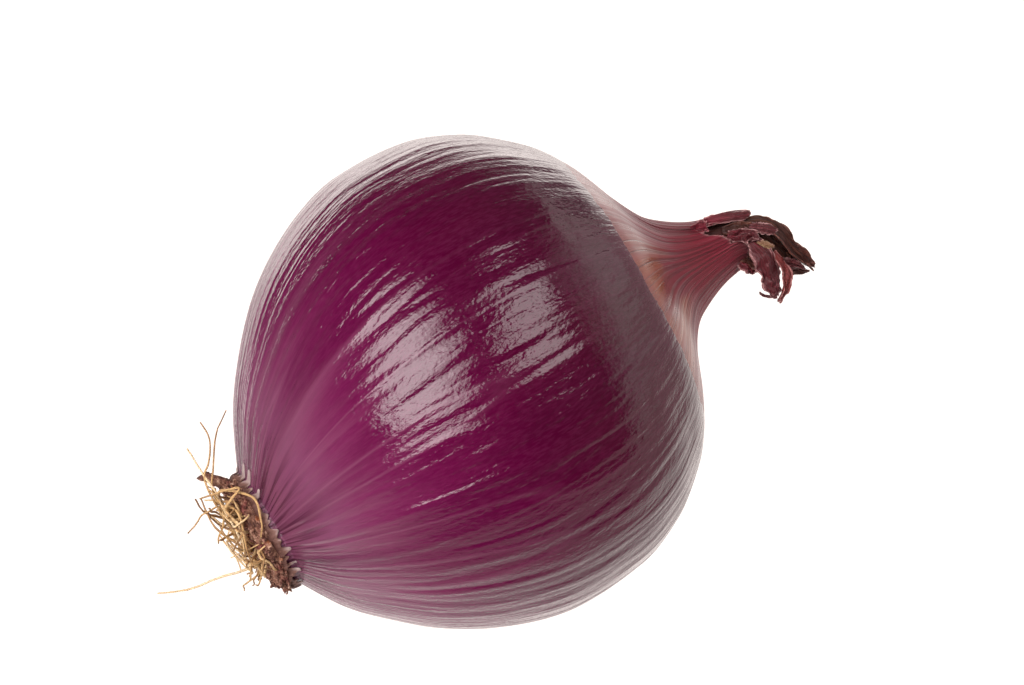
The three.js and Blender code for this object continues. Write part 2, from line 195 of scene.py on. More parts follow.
def capRim(angle):
    side = (np.degrees(angle - facingAngle) + 180) % 360 - 180
    ragged = 0.4 * np.sin(9 * angle) + 0.25 * np.sin(17 * angle + 1)
    flap = 7.4 * smoothStep(-54, -48, -np.abs(side + 93))
    lip = 3.6 * smoothStep(-48, 2, side) + 3.4 * smoothStep(2, 14, side)
    far = 2.4 * smoothStep(105, 135, side)
    return np.where(side < -45, 84.5 + flap, 84.2 + lip - far) + ragged


# Node trees

def addNode(tree, kind, inputs=None, **settings):
    made = tree.nodes.new(kind)
    for name, value in settings.items():
        setattr(made, name, value)
    for key, value in (inputs or {}).items():
        if isinstance(value, bpy.types.NodeSocket):
            tree.links.new(value, made.inputs[key])
        else:
            made.inputs[key].default_value = value
    return made


def maths(tree, operation, *values, clamp=False):
    inputs = dict(enumerate(values))
    return addNode(tree, "ShaderNodeMath", inputs, operation=operation, use_clamp=clamp).outputs[0]


def times(tree, *values):
    return maths(tree, "MULTIPLY", *values)


def plus(tree, *values, clamp=False):
    return maths(tree, "ADD", *values, clamp=clamp)


def minus(tree, *values, clamp=False):
    return maths(tree, "SUBTRACT", *values, clamp=clamp)


def vectorMaths(tree, operation, first, second):
    inputs = {0: first, "Scale" if operation == "SCALE" else 1: second}
    made = addNode(tree, "ShaderNodeVectorMath", inputs, operation=operation)
    return made.outputs["Value" if operation == "DOT_PRODUCT" else "Vector"]


def spread(tree, value, low, high, newLow=0.0, newHigh=1.0):
    inputs = {"Value": value, "From Min": low, "From Max": high, "To Min": newLow, "To Max": newHigh}
    return addNode(tree, "ShaderNodeMapRange", inputs, interpolation_type="SMOOTHSTEP").outputs[0]


def noiseAt(tree, place, scale, seed, detail):
    inputs = {"Vector": place, "W": seed, "Scale": scale, "Detail": detail}
    return addNode(tree, "ShaderNodeTexNoise", inputs, noise_dimensions="4D").outputs[0]


# Noise drawn out along the grain: cells round the axis, and cells along it.
def grainNoise(tree, grain, roundScale, alongScale, seed, detail=2.0):
    place = vectorMaths(tree, "MULTIPLY", grain, (roundScale, roundScale, alongScale))
    return noiseAt(tree, place, 1.0, seed, detail)


# Narrow lines where a noise crosses its middle.
def lines(tree, noise, sharpness):
    away = maths(tree, "ABSOLUTE", minus(tree, noise, 0.5))
    return minus(tree, 1.0, times(tree, away, sharpness), clamp=True)


# A colour as seen on a screen, from 0 to 255, in the linear values that Blender takes.
def screenColour(red, green, blue):
    linear = [((v / 255 + 0.055) / 1.055) ** 2.4 if v > 10 else v / 255 / 12.92 for v in (red, green, blue)]
    return (*linear, 1.0)


def mixColours(tree, factor, first, shade):
    inputs = {0: factor, 6: first, 7: screenColour(*shade)}
    return addNode(tree, "ShaderNodeMix", inputs, data_type="RGBA").outputs[2]


def colourRamp(tree, factor, stops):
    made = addNode(tree, "ShaderNodeValToRGB", {0: factor})
    elements = made.color_ramp.elements
    while len(elements) < len(stops):
        elements.new(0.5)
    for element, (place, shade) in zip(elements, stops):
        element.position, element.color = place, screenColour(*shade)
    return made.outputs[0]


def newMaterial(name, **sockets):
    material = bpy.data.materials.new(name)
    material.use_nodes = True
    tree = material.node_tree
    shader = tree.nodes["Principled BSDF"]
    for key, value in sockets.items():
        shader.inputs[key.replace("_", " ")].default_value = value
    return material, tree, shader


def attributeOf(tree, name):
    return addNode(tree, "ShaderNodeAttribute", attribute_name=name).outputs["Fac"]


def shaderGrain(tree):
    return addNode(tree, "ShaderNodeAttribute", attribute_name="grain").outputs["Vector"]


def alongOf(tree, grain):
    return addNode(tree, "ShaderNodeSeparateXYZ", {0: grain}).outputs[2]


def bumpFrom(tree, shader, height, distance):
    bump = addNode(tree, "ShaderNodeBump", {"Height": height, "Distance": distance * mm, "Strength": 1.0})
    tree.links.new(bump.outputs[0], shader.inputs["Normal"])


def newTree(name, inputs):
    tree = bpy.data.node_groups.new(name, "GeometryNodeTree")
    tree.interface.new_socket("Geometry", in_out="OUTPUT", socket_type="NodeSocketGeometry")
    tree.interface.new_socket("Geometry", in_out="INPUT", socket_type="NodeSocketGeometry")
    for label, kind in inputs:
        tree.interface.new_socket(label, in_out="INPUT", socket_type="NodeSocket" + kind)
    return tree, addNode(tree, "NodeGroupInput").outputs


def closeTree(tree, geometry, material):
    painted = addNode(tree, "GeometryNodeSetMaterial", {"Geometry": geometry, "Material": material})
    tree.links.new(painted.outputs[0], addNode(tree, "NodeGroupOutput").inputs[0])


def storedValue(tree, name, kind):
    made = addNode(tree, "GeometryNodeInputNamedAttribute", {"Name": name}, data_type=kind)
    return made.outputs["Attribute"]


def randomVector(tree, low, high, seed):
    inputs = {0: low, 1: high, "Seed": seed}
    return addNode(tree, "FunctionNodeRandomValue", inputs, data_type="FLOAT_VECTOR").outputs[0]


def randomValue(tree, low, high, inputs):
    inputs = {2: low, 3: high, **inputs}
    return addNode(tree, "FunctionNodeRandomValue", inputs, data_type="FLOAT").outputs[1]


def storeShade(tree, geometry, shade, domain):
    inputs = {"Geometry": geometry, "Name": "shade", "Value": shade}
    kept = addNode(tree, "GeometryNodeStoreNamedAttribute", inputs, data_type="FLOAT", domain=domain)
    return kept.outputs[0]


def movePoints(tree, geometry, way, distance):
    inputs = {"Geometry": geometry, "Offset": vectorMaths(tree, "SCALE", way, distance)}
    return addNode(tree, "GeometryNodeSetPosition", inputs).outputs[0]


# Pushes each point a different way, by noise.
def roughen(tree, geometry, scale, detail, distance):
    place = addNode(tree, "GeometryNodeInputPosition").outputs[0]
    noise = addNode(tree, "ShaderNodeTexNoise", {"Vector": place, "Scale": scale, "Detail": detail})
    way = vectorMaths(tree, "SUBTRACT", noise.outputs["Color"], (0.5, 0.5, 0.5))
    return movePoints(tree, geometry, way, distance)


# The plain mesh that a piece's modifiers give. They are taken off it.
def bakedMesh(piece):
    bpy.context.view_layer.update()
    graph = bpy.context.evaluated_depsgraph_get()
    live = piece.evaluated_get(graph)
    plain = bpy.data.meshes.new_from_object(live, preserve_all_data_layers=True, depsgraph=graph)
    piece.modifiers.clear()
    return plain


# Runs a tree on a piece, and leaves its result as the piece's plain mesh.
def runTree(piece, tree, settings):
    modifier = piece.modifiers.new(tree.name, "NODES")
    modifier.node_group = tree
    for item in tree.interface.items_tree:
        if item.item_type == "SOCKET" and item.in_out == "INPUT" and item.name in settings:
            modifier[item.identifier] = settings[item.name]
    plain = bakedMesh(piece)
    if piece.type == "MESH":
        piece.data = plain
        return piece
    made = newPiece(piece.name, plain)
    bpy.data.objects.remove(piece)
    return made


# Meshes

def newPiece(name, data):
    piece = bpy.data.objects.new(name, data)
    bpy.context.scene.collection.objects.link(piece)
    return piece


# A sheet through rows of points in millimetres, which may join up round, with closed ends. Its named
# values are read by the ribs and the materials.
def sheetPiece(name, rows, grain, values=None, joinsUp=True, capFirst=False, capLast=False):
    count, around = rows.shape[:2]
    points, grains = rows.reshape(-1, 3), grain.reshape(-1, 3)
    corner = np.arange(count * around).reshape(count, around)
    beside = np.roll(corner, -1, axis=1)
    used = slice(None) if joinsUp else slice(0, -1)
    quads = np.stack([corner[:-1, used], beside[:-1, used], beside[1:, used], corner[1:, used]], -1)
    faces = quads.reshape(-1, 4).tolist()
    for isUsed, row, turned in ((capFirst, 0, True), (capLast, count - 1, False)):
        if isUsed:
            middle = len(points)
            points = np.vstack([points, rows[row].mean(0)])
            grains = np.vstack([grains, grain[row].mean(0)])
            ring = list(zip(corner[row], beside[row]))
            faces += [(int(b), int(a), middle) if turned else (int(a), int(b), middle) for a, b in ring]
    mesh = bpy.data.meshes.new(name)
    mesh.from_pydata((points * mm).tolist(), [], faces)
    store = mesh.attributes.new("grain", "FLOAT_VECTOR", "POINT")
    store.data.foreach_set("vector", grains.ravel().astype(np.float32))
    for label, given in (values or {}).items():
        kept = np.zeros(len(points), np.float32)
        kept[: count * around] = np.broadcast_to(given, (count, around)).ravel()
        mesh.attributes.new(label, "FLOAT", "POINT").data.foreach_set("value", kept)
    mesh.shade_smooth()
    return newPiece(name, mesh)


# Turns faces outwards, or for an open sheet all to one side, so that their mean points along a way.
def pointFaces(piece, way):
    mesh = piece.data
    normals = np.empty(3 * len(mesh.polygons), np.float32)
    mesh.polygons.foreach_get("normal", normals)
    if (normals.reshape(-1, 3) @ np.asarray(way, np.float32)).sum() < 0:
        mesh.flip_normals()


def enclosedVolume(mesh):
    mesh.calc_loop_triangles()
    corners = np.empty(3 * len(mesh.vertices), np.float64)
    mesh.vertices.foreach_get("co", corners)
    index = np.empty(3 * len(mesh.loop_triangles), np.int32)
    mesh.loop_triangles.foreach_get("vertices", index)
    a, b, c = corners.reshape(-1, 3)[index.reshape(-1, 3)].transpose(1, 0, 2)
    return np.einsum("ij,ij->i", a, np.cross(b, c)).sum() / 6


def faceOutwards(piece):
    if enclosedVolume(piece.data) < 0:
        piece.data.flip_normals()


# Gives a sheet its thickness, inwards from its face.
def thicken(piece, thickness):
    solid = piece.modifiers.new("Thickness", "SOLIDIFY")
    solid.thickness, solid.offset = thickness * mm, -1
    piece.data = bakedMesh(piece)
    faceOutwards(piece)


def joinPieces(name, pieces):
    bpy.ops.object.select_all(action="DESELECT")
    for piece in pieces:
        piece.select_set(True)
    bpy.context.view_layer.objects.active = pieces[0]
    bpy.ops.object.join()
    pieces[0].name = name
    return pieces[0]


# The angles of a piece's columns.
def aroundColumns(count):
    return np.arange(count) * 2 * math.pi / count


grainLength = 40  # millimetres of the axis to one step of the grain


# The grain that materials and ribs follow: a place on a round of radius one, and one along the axis.
def roundGrain(angle, station):
    return np.stack(np.broadcast_arrays(np.cos(angle), np.sin(angle), station / grainLength), -1)


# Ribs

# The tree that raises lengthwise flutes and veins on a skin, along its normals.
def makeRibTree():
    tree, given = newTree("Lengthwise ribs", [
        ("Material", "Material"), ("Flute scale", "Float"), ("Flute height", "Float"),
        ("Vein scale", "Float"), ("Vein sharpness", "Float"), ("Vein height", "Float"),
        ("Groove scale", "Float"), ("Groove sharpness", "Float"), ("Groove depth", "Float"),
        ("Wrinkle scale", "Float"), ("Wrinkle height", "Float"), ("Wander", "Float"), ("Seed", "Float"),
    ])
    grain = storedValue(tree, "grain", "FLOAT_VECTOR")
    strength = storedValue(tree, "strength", "FLOAT")

    def ribNoise(scale, along, shift, detail):
        along = times(tree, given["Wander"], along)
        stretch = addNode(tree, "ShaderNodeCombineXYZ", {0: scale, 1: scale, 2: along}).outputs[0]
        place = vectorMaths(tree, "MULTIPLY", grain, stretch)
        return noiseAt(tree, place, 1.0, plus(tree, given["Seed"], shift), detail)

    flute = minus(tree, ribNoise(given["Flute scale"], 1.5, 0.0, 0.6), 0.5)
    flute = times(tree, flute, given["Flute height"])
    vein = lines(tree, ribNoise(given["Vein scale"], 0.5, 5.0, 0.0), given["Vein sharpness"])
    vein = times(tree, times(tree, vein, vein), given["Vein height"])
    groove = lines(tree, ribNoise(given["Groove scale"], 1.3, 13.0, 0.0), given["Groove sharpness"])
    vein = minus(tree, vein, times(tree, groove, given["Groove depth"]))
    wrinkle = minus(tree, ribNoise(given["Wrinkle scale"], 6.0, 9.0, 2.0), 0.5)
    wrinkle = times(tree, wrinkle, given["Wrinkle height"])
    height = plus(tree, plus(tree, flute, vein), wrinkle)
    height = times(tree, times(tree, height, strength), mm)
    normal = addNode(tree, "GeometryNodeInputNormal").outputs[0]
    moved = movePoints(tree, given["Geometry"], normal, height)
    closeTree(tree, moved, given["Material"])
    return tree


ribTree = makeRibTree()

# Bulb

bulbSettings = {
    "columns": 840,
    "rows": 113,
    # stations and radii of the lip that closes in below the root ring
    "rootLip": [(-1.7, 9.3), (-1.2, 9.75), (-0.6, 9.95), (-0.2, 10)],
    "lipStrength": 0.1,
    "endStation": 80.0,
    "sunkBelowCap": 0.4,
    "ribs": {
        "Flute scale": 16.0, "Flute height": 0.68,
        "Vein scale": 5.5, "Vein sharpness": 22.0, "Vein height": 0.07,
        "Groove scale": 11.0, "Groove sharpness": 9.0, "Groove depth": 0.11,
        "Wrinkle scale": 40.0, "Wrinkle height": 0.06, "Wander": 1.0, "Seed": 3.0,
    },
    # station, degrees from the facing side, radius and depth of each dent
    "dents": [
        (59.3, -24, 1.3, 0.16), (59.2, -19, 1.0, 0.13), (50.6, -16, 1.1, 0.1), (38, -31, 0.5, 0.1),
        (62, -7, 1.2, 0.14), (60, 12, 1.6, 0.12), (57, 30, 1.2, 0.1), (63, 48, 1.4, 0.14),
        (47, 78, 1.8, 0.12), (30, -95, 1.6, 0.12), (52, 150, 2.0, 0.14), (26, 170, 1.4, 0.1),
    ],
}


# The side of the bulb that is made darker, as a place on the grain's round.
darkenedSide = (0.82, -0.57, 0)


def bulbColour(tree, grain):
    along = alongOf(tree, grain)
    base = colourRamp(tree, maths(tree, "DIVIDE", along, 1.75), [
        (0.0, (110, 60, 84)), (0.09, (114, 61, 90)),
        (0.16, (105, 38, 76)), (0.24, (96, 18, 64)),
        (0.34, (88, 6, 55)), (0.45, (80, 1, 47)),
        (0.58, (71, 1, 38)), (0.76, (65, 10, 33)),
        (0.92, (62, 16, 32)),
    ])
    broad = spread(tree, grainNoise(tree, grain, 3.2, 0.9, 11.0, 3.0), 0.4, 0.62)
    streak = spread(tree, grainNoise(tree, grain, 14.0, 1.4, 12.0, 3.0), 0.42, 0.66)
    pale = times(tree, streak, spread(tree, along, 0.6, 0.05, 0.02, 0.55))
    tone = mixColours(tree, pale, base, (126, 74, 98))
    away = vectorMaths(tree, "DOT_PRODUCT", grain, darkenedSide)
    deep = times(tree, spread(tree, away, 0.6, 0.98), spread(tree, along, 0.1, 0.45))
    dark = plus(tree, times(tree, broad, 0.35), times(tree, deep, 0.2), clamp=True)
    tone = mixColours(tree, dark, tone, (60, 0, 34))
    vein = lines(tree, grainNoise(tree, grain, 5.5, 0.5, 8.0, 0.0), 30.0)
    vein = times(tree, vein, spread(tree, along, 1.1, 0.05, 0.05, 0.4))
    tone = mixColours(tree, vein, tone, (132, 82, 106))
    rootStreak = spread(tree, grainNoise(tree, grain, 22.0, 4.0, 14.0, 2.0), 0.46, 0.6)
    rootStreak = times(tree, rootStreak, spread(tree, along, 0.2, 0.02, 0.0, 0.65))
    tone = mixColours(tree, rootStreak, tone, (48, 8, 28))
    speck = spread(tree, grainNoise(tree, grain, 120.0, 28.0, 15.0, 2.0), 0.35, 0.7)
    return mixColours(tree, times(tree, speck, 0.07), tone, (150, 70, 112))


def makeBulbMaterial():
    material, tree, shader = newMaterial(
        "Glossy onion skin", IOR=1.45, Sheen_Weight=0.04, Sheen_Roughness=0.3)
    shader.inputs["Sheen Tint"].default_value = (1.0, 0.86, 0.84, 1.0)
    grain = shaderGrain(tree)
    tree.links.new(bulbColour(tree, grain), shader.inputs["Base Color"])
    patches = grainNoise(tree, grain, 9.0, 3.0, 21.0, 3.0)
    tree.links.new(spread(tree, patches, 0.35, 0.7, 0.08, 0.16), shader.inputs["Roughness"])
    fine = times(tree, grainNoise(tree, grain, 110.0, 55.0, 22.0, 1.0), 0.45)
    crinkle = times(tree, grainNoise(tree, grain, 58.0, 40.0, 24.0, 2.0), 0.95)
    strands = times(tree, grainNoise(tree, grain, 50.0, 6.0, 23.0, 1.0), 0.66)
    groove = lines(tree, grainNoise(tree, grain, 15.0, 2.6, 25.0, 0.5), 7.0)
    height = minus(tree, plus(tree, strands, crinkle), times(tree, groove, 0.6))
    bumpFrom(tree, shader, plus(tree, fine, height), 0.1)
    return material


# Presses the skin flat where it rests, at height 0.
def pressFlat(mesh):
    corners = np.empty(3 * len(mesh.vertices), np.float32)
    mesh.vertices.foreach_get("co", corners)
    corners[2::3] = np.maximum(corners[2::3], 0)
    mesh.vertices.foreach_set("co", corners)
    mesh.update()


def makeBulb():
    angle = aroundColumns(bulbSettings["columns"])[None, :]
    shares = np.linspace(0, shareAt(bulbSettings["endStation"]), bulbSettings["rows"])[:, None]
    station = stationAt(shares)
    edge = capEdge(angle)
    lift = -bulbSettings["sunkBelowCap"] * smoothStep(edge + 0.9, edge + 3, station)
    for dentStation, turn, reach, depth in bulbSettings["dents"]:
        around = (angle - facingAngle - math.radians(turn) + math.pi) % (2 * math.pi) - math.pi
        around = around * outlineRadius(dentStation)
        away = ((station - dentStation) / reach) ** 2 + (around / (1.3 * reach)) ** 2
        lift = lift - depth * np.exp(-away)
    girth = outlineRadius(station) / form["widestRadius"]
    strength = (0.12 + 0.88 * girth) * (1 - smoothStep(edge - 3.5, edge, station))
    strength = strength * (1 - 0.28 * smoothStep(34, 58, station))
    lip = np.array(bulbSettings["rootLip"])[:, :, None]
    rows = np.concatenate([onionPoint(lip[:, 0], angle, lip[:, 1]), skinPoint(shares, angle, lift)])
    station = np.concatenate([lip[:, 0], station])
    lipStrength = np.full((len(lip), angle.size), bulbSettings["lipStrength"])
    strength = np.concatenate([lipStrength, strength])
    piece = sheetPiece("bulbSkin", rows, roundGrain(angle, station), {"strength": strength},
                       capFirst=True, capLast=True)
    faceOutwards(piece)
    runTree(piece, ribTree, {**bulbSettings["ribs"], "Material": makeBulbMaterial()})
    pressFlat(piece.data)
    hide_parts("bulb")
    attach(piece, "root")


makeBulb()
print("onion: bulb made")

# Torn leaves

# What a torn leaf has where its own settings don't say otherwise. The last three are shares of the
# tints in its material.
plainLeaf = {
    "steps": 48, "stripes": 22, "ribs": 0.06, "thickness": 0.16, "warm": 0, "straw": 0, "dry": 0,
}


# A thin torn leaf along a path of places, each along the axis, towards the leaning side and towards
# the facing side. It is crumpled, curled across its width and ragged at its sides and tip.
def tornLeaf(name, leaf, material):
    leaf = {**plainLeaf, **leaf}
    share = np.linspace(0, 1, leaf["steps"])[:, None]
    place = np.linspace(-1, 1, leaf["stripes"])[None, :]
    seed = leaf["seed"]
    tipRagged = 0.1 * field(3 * (place + 1), 0.5, 16, seed) - 0.06
    tipRagged = tipRagged + 0.07 * field(9 * (place + 1), 0.5, 32, seed + 5)
    edge = np.maximum(smoothStep(0.72, 1, np.abs(place)), smoothStep(0.9, 1, share))
    share = np.clip(share * (1 + tipRagged * smoothStep(0.4, 1, share)), 0, 1)
    middle = splineAt(leaf["path"], share)
    slope = splineAt(leaf["path"], share + 0.01) - splineAt(leaf["path"], share - 0.01)
    slope /= np.linalg.norm(slope, axis=-1, keepdims=True)
    across = np.asarray(leaf["across"], float) + 0 * slope
    across = across - slope * (across * slope).sum(-1, keepdims=True)
    across /= np.linalg.norm(across, axis=-1, keepdims=True)
    normal = np.cross(slope, across)
    width = splineAt([(w,) for w in leaf["widths"]], share)[..., 0] / 2
    farSide = 20 * (place > 0)
    ragged = 1 + 0.22 * field(7 * share + farSide, 0.5, 64, seed + 1)
    ragged = ragged + 0.12 * field(22 * share + farSide, 0.5, 64, seed + 2)
    width = width * np.where(np.abs(place) > 0.8, ragged, 1)
    folds = 1 - 2 * np.abs(field(1.6 * (place + 1) + 1.2 * share, 4 * share, 32, seed + 3))
    folds = folds + 0.7 * field(3.5 * (place + 1), 7 * share, 64, seed + 4)
    folds = folds + 0.4 * (1 - 2 * np.abs(field(7 * (place + 1) + share, 12 * share, 64, seed + 6)))
    rise = leaf["crumple"] * folds * smoothStep(0, 0.3, share)
    rise = rise + leaf["curl"] * place**2 * smoothStep(0, 0.5, share)
    ribs = leaf["ribs"] * np.sin(8 * place * math.pi + seed + 3 * share)
    sway = 0.3 * leaf["crumple"] * field(3 * (place + 1), 8 * share, 64, seed + 7)
    at = middle + across * (place * width + sway)[..., None] + normal * (rise + ribs)[..., None]
    along = middle[..., 0] / grainLength
    grain = np.stack(np.broadcast_arrays(place * width / 5, float(seed), along), -1)
    values = {"edge": edge, **{tint: leaf[tint] for tint in ("warm", "straw", "dry")}}
    rows = leanPlaces(at[..., 0], at[..., 1], at[..., 2])
    piece = sheetPiece(name, rows, grain, values, joinsUp=False)
    piece.data.materials.append(material)
    pointFaces(piece, (0.2, -0.3, 1))
    thicken(piece, leaf["thickness"])
    return piece


# Papery cap

capSettings = {
    "columns": 480,
    "rows": 74,
    "lift": 0.05,
    "thickness": 0.2,
    "edgeCurl": 0.04,
    "edgeDepth": 0.03,
    "sinkLength": 2.4,
    "flare": 0.35,
    "ribs": {
        "Flute scale": 18.0, "Flute height": 0.2,
        "Vein scale": 8.0, "Vein sharpness": 14.0, "Vein height": 0.05,
        "Groove scale": 16.0, "Groove sharpness": 18.0, "Groove depth": 0.07,
        "Wrinkle scale": 34.0, "Wrinkle height": 0.08, "Wander": 0.15, "Seed": 17.0,
    },
    "notchTurn": 11,
}


# The side of the neck where the orange patch shows, as a place on the grain's round.
patchSide = (0.86, 0.5, 0)


def makePaperMaterial(name, stops):
    material, tree, shader = newMaterial(
        name, IOR=stops["gloss"], Sheen_Weight=stops["sheen"], Sheen_Roughness=0.3)
    shader.inputs["Sheen Tint"].default_value = (1.0, 0.9, 0.88, 1.0)
    grain = shaderGrain(tree)
    along = alongOf(tree, grain)
    spanStart, spanEnd = stops["span"]
    place = maths(tree, "DIVIDE", minus(tree, along, spanStart), spanEnd - spanStart)
    base = colourRamp(tree, place, stops["ramp"])
    patch = spread(tree, grainNoise(tree, grain, 2.6, 4.0, 31.0, 2.0), 0.4, 0.6)
    front = vectorMaths(tree, "DOT_PRODUCT", grain, patchSide)
    patch = times(tree, patch, spread(tree, front, 0.84, 0.985))
    patch = times(tree, patch, spread(tree, along, 1.96, 1.82))
    patch = times(tree, patch, spread(tree, along, 1.64, 1.7))
    tone = mixColours(tree, times(tree, patch, 0.85), base, stops["patch"])
    streak = spread(tree, grainNoise(tree, grain, 26.0, 1.0, 32.0, 3.0), 0.38, 0.68)
    tone = mixColours(tree, times(tree, streak, 0.3), tone, stops["pale"])
    vein = lines(tree, grainNoise(tree, grain, 15.0, 0.15, 33.0, 0.5), 40.0)
    # The pleats are darkened along the lines that the bump sinks: painted shade in their folds.
    pleat = lines(tree, grainNoise(tree, grain, 24.0, 0.2, 36.0, 0.5), 11.0)
    pleat = times(tree, pleat, spread(tree, along, 1.72, 1.9, 0.1, 0.5))
    dark = maths(tree, "MAXIMUM", times(tree, vein, 0.75), pleat)
    tone = mixColours(tree, dark, tone, stops["dark"])
    worn = spread(tree, grainNoise(tree, grain, 40.0, 30.0, 35.0, 2.0), 0.35, 0.6)
    edge = times(tree, times(tree, attributeOf(tree, "edge"), worn), stops["edgeShare"])
    tone = mixColours(tree, edge, tone, stops["edge"])
    for label, shade in stops["tints"].items():
        tint = times(tree, attributeOf(tree, label), spread(tree, streak, 0, 1, 0.8, 0.5))
        tone = mixColours(tree, tint, tone, shade)
    tree.links.new(tone, shader.inputs["Base Color"])
    matt = spread(tree, along, 1.76, 1.9, 0.0, stops["neckMatt"])
    rough = plus(tree, spread(tree, streak, 0, 1, *stops["roughness"]), matt)
    tree.links.new(rough, shader.inputs["Roughness"])
    fine = minus(tree, grainNoise(tree, grain, 45.0, 6.0, 34.0, 2.0), times(tree, vein, 0.5))
    bumpFrom(tree, shader, minus(tree, fine, times(tree, pleat, 2.0)), 0.06)
    return material


capPaper = makePaperMaterial("Papery skin", {
    "span": (1.62, 2.4),
    # The ramp's first stops, pale pink near the torn edge, are partly the paper's own colour and partly
    # painted sheen.
    "ramp": [
        (0.0, (118, 78, 76)), (0.12, (136, 80, 78)), (0.2, (124, 50, 54)),
        (0.29, (120, 16, 42)), (0.52, (118, 4, 34)), (0.7, (122, 14, 40)),
        (0.82, (82, 13, 22)), (1.0, (80, 20, 24)),
    ],
    "patch": (146, 74, 24),
    "pale": (146, 62, 76),
    # the dark veins, and the painted shade in the pleats' folds
    "dark": (46, 8, 14),
    "edge": (222, 172, 170),
    "edgeShare": 0.75,
    "sheen": 0.08,
    "gloss": 1.46,
    "roughness": (0.27, 0.36),
    "neckMatt": 0.2,
    "tints": {"warm": (150, 44, 30), "straw": (150, 122, 84), "dry": (70, 26, 26)},
})


def makeCap():
    angle = aroundColumns(capSettings["columns"])[None, :]
    side = np.degrees(angle - facingAngle)
    turn = angle / (2 * math.pi)
    fray = 0.3 * ringField(turn, 90, 41) + 0.14 * ringField(turn, 240, 42)
    notch = 1.1 * np.exp(-(((side - capSettings["notchTurn"]) / 1.2) ** 2))
    start = shareAt(capEdge(angle) + fray + notch)
    tear = 0.45 * ringField(turn, 70, 43) + 0.3 * ringField(turn, 170, 44)
    end = shareAt(capRim(angle) + tear)
    step = np.linspace(0, 1, capSettings["rows"])[:, None]
    shares = start + (end - start) * step
    station = stationAt(shares)
    inside = station - stationAt(start)
    curl = capSettings["edgeCurl"] * np.exp(-inside / 0.7) * np.maximum(0, ringField(turn, 24, 45))
    sink = capSettings["edgeDepth"] + capSettings["lift"]
    curl = curl - sink * (1 - smoothStep(0, capSettings["sinkLength"], inside))
    flare = capSettings["flare"] * smoothStep(0.8, 1, step) * ringField(turn, 14, 46)
    strength = 0.1 + 0.8 * smoothStep(capEdge(angle), capEdge(angle) + 7, station)
    reach = stationAt(end) - station
    edge = np.maximum(1 - smoothStep(0.1, 0.5, reach), 0.4 * (1 - smoothStep(0, 0.3, inside)))
    sheet = sheetPiece("cap", skinPoint(shares, angle, capSettings["lift"] + curl + flare),
                       roundGrain(angle, station), {"strength": strength, "edge": edge})
    pointOutwards(sheet)
    runTree(sheet, ribTree, {**capSettings["ribs"], "Material": capPaper})
    thicken(sheet, capSettings["thickness"])
    return sheet


# A tube's faces point away from its middle line.
def pointOutwards(piece):
    mesh = piece.data
    middle = np.mean([vertex.co for vertex in mesh.vertices], axis=0)
    outward = sum((Vector(face.center - Vector(middle))).dot(face.normal) for face in mesh.polygons)
    if outward < 0:
        mesh.flip_normals()


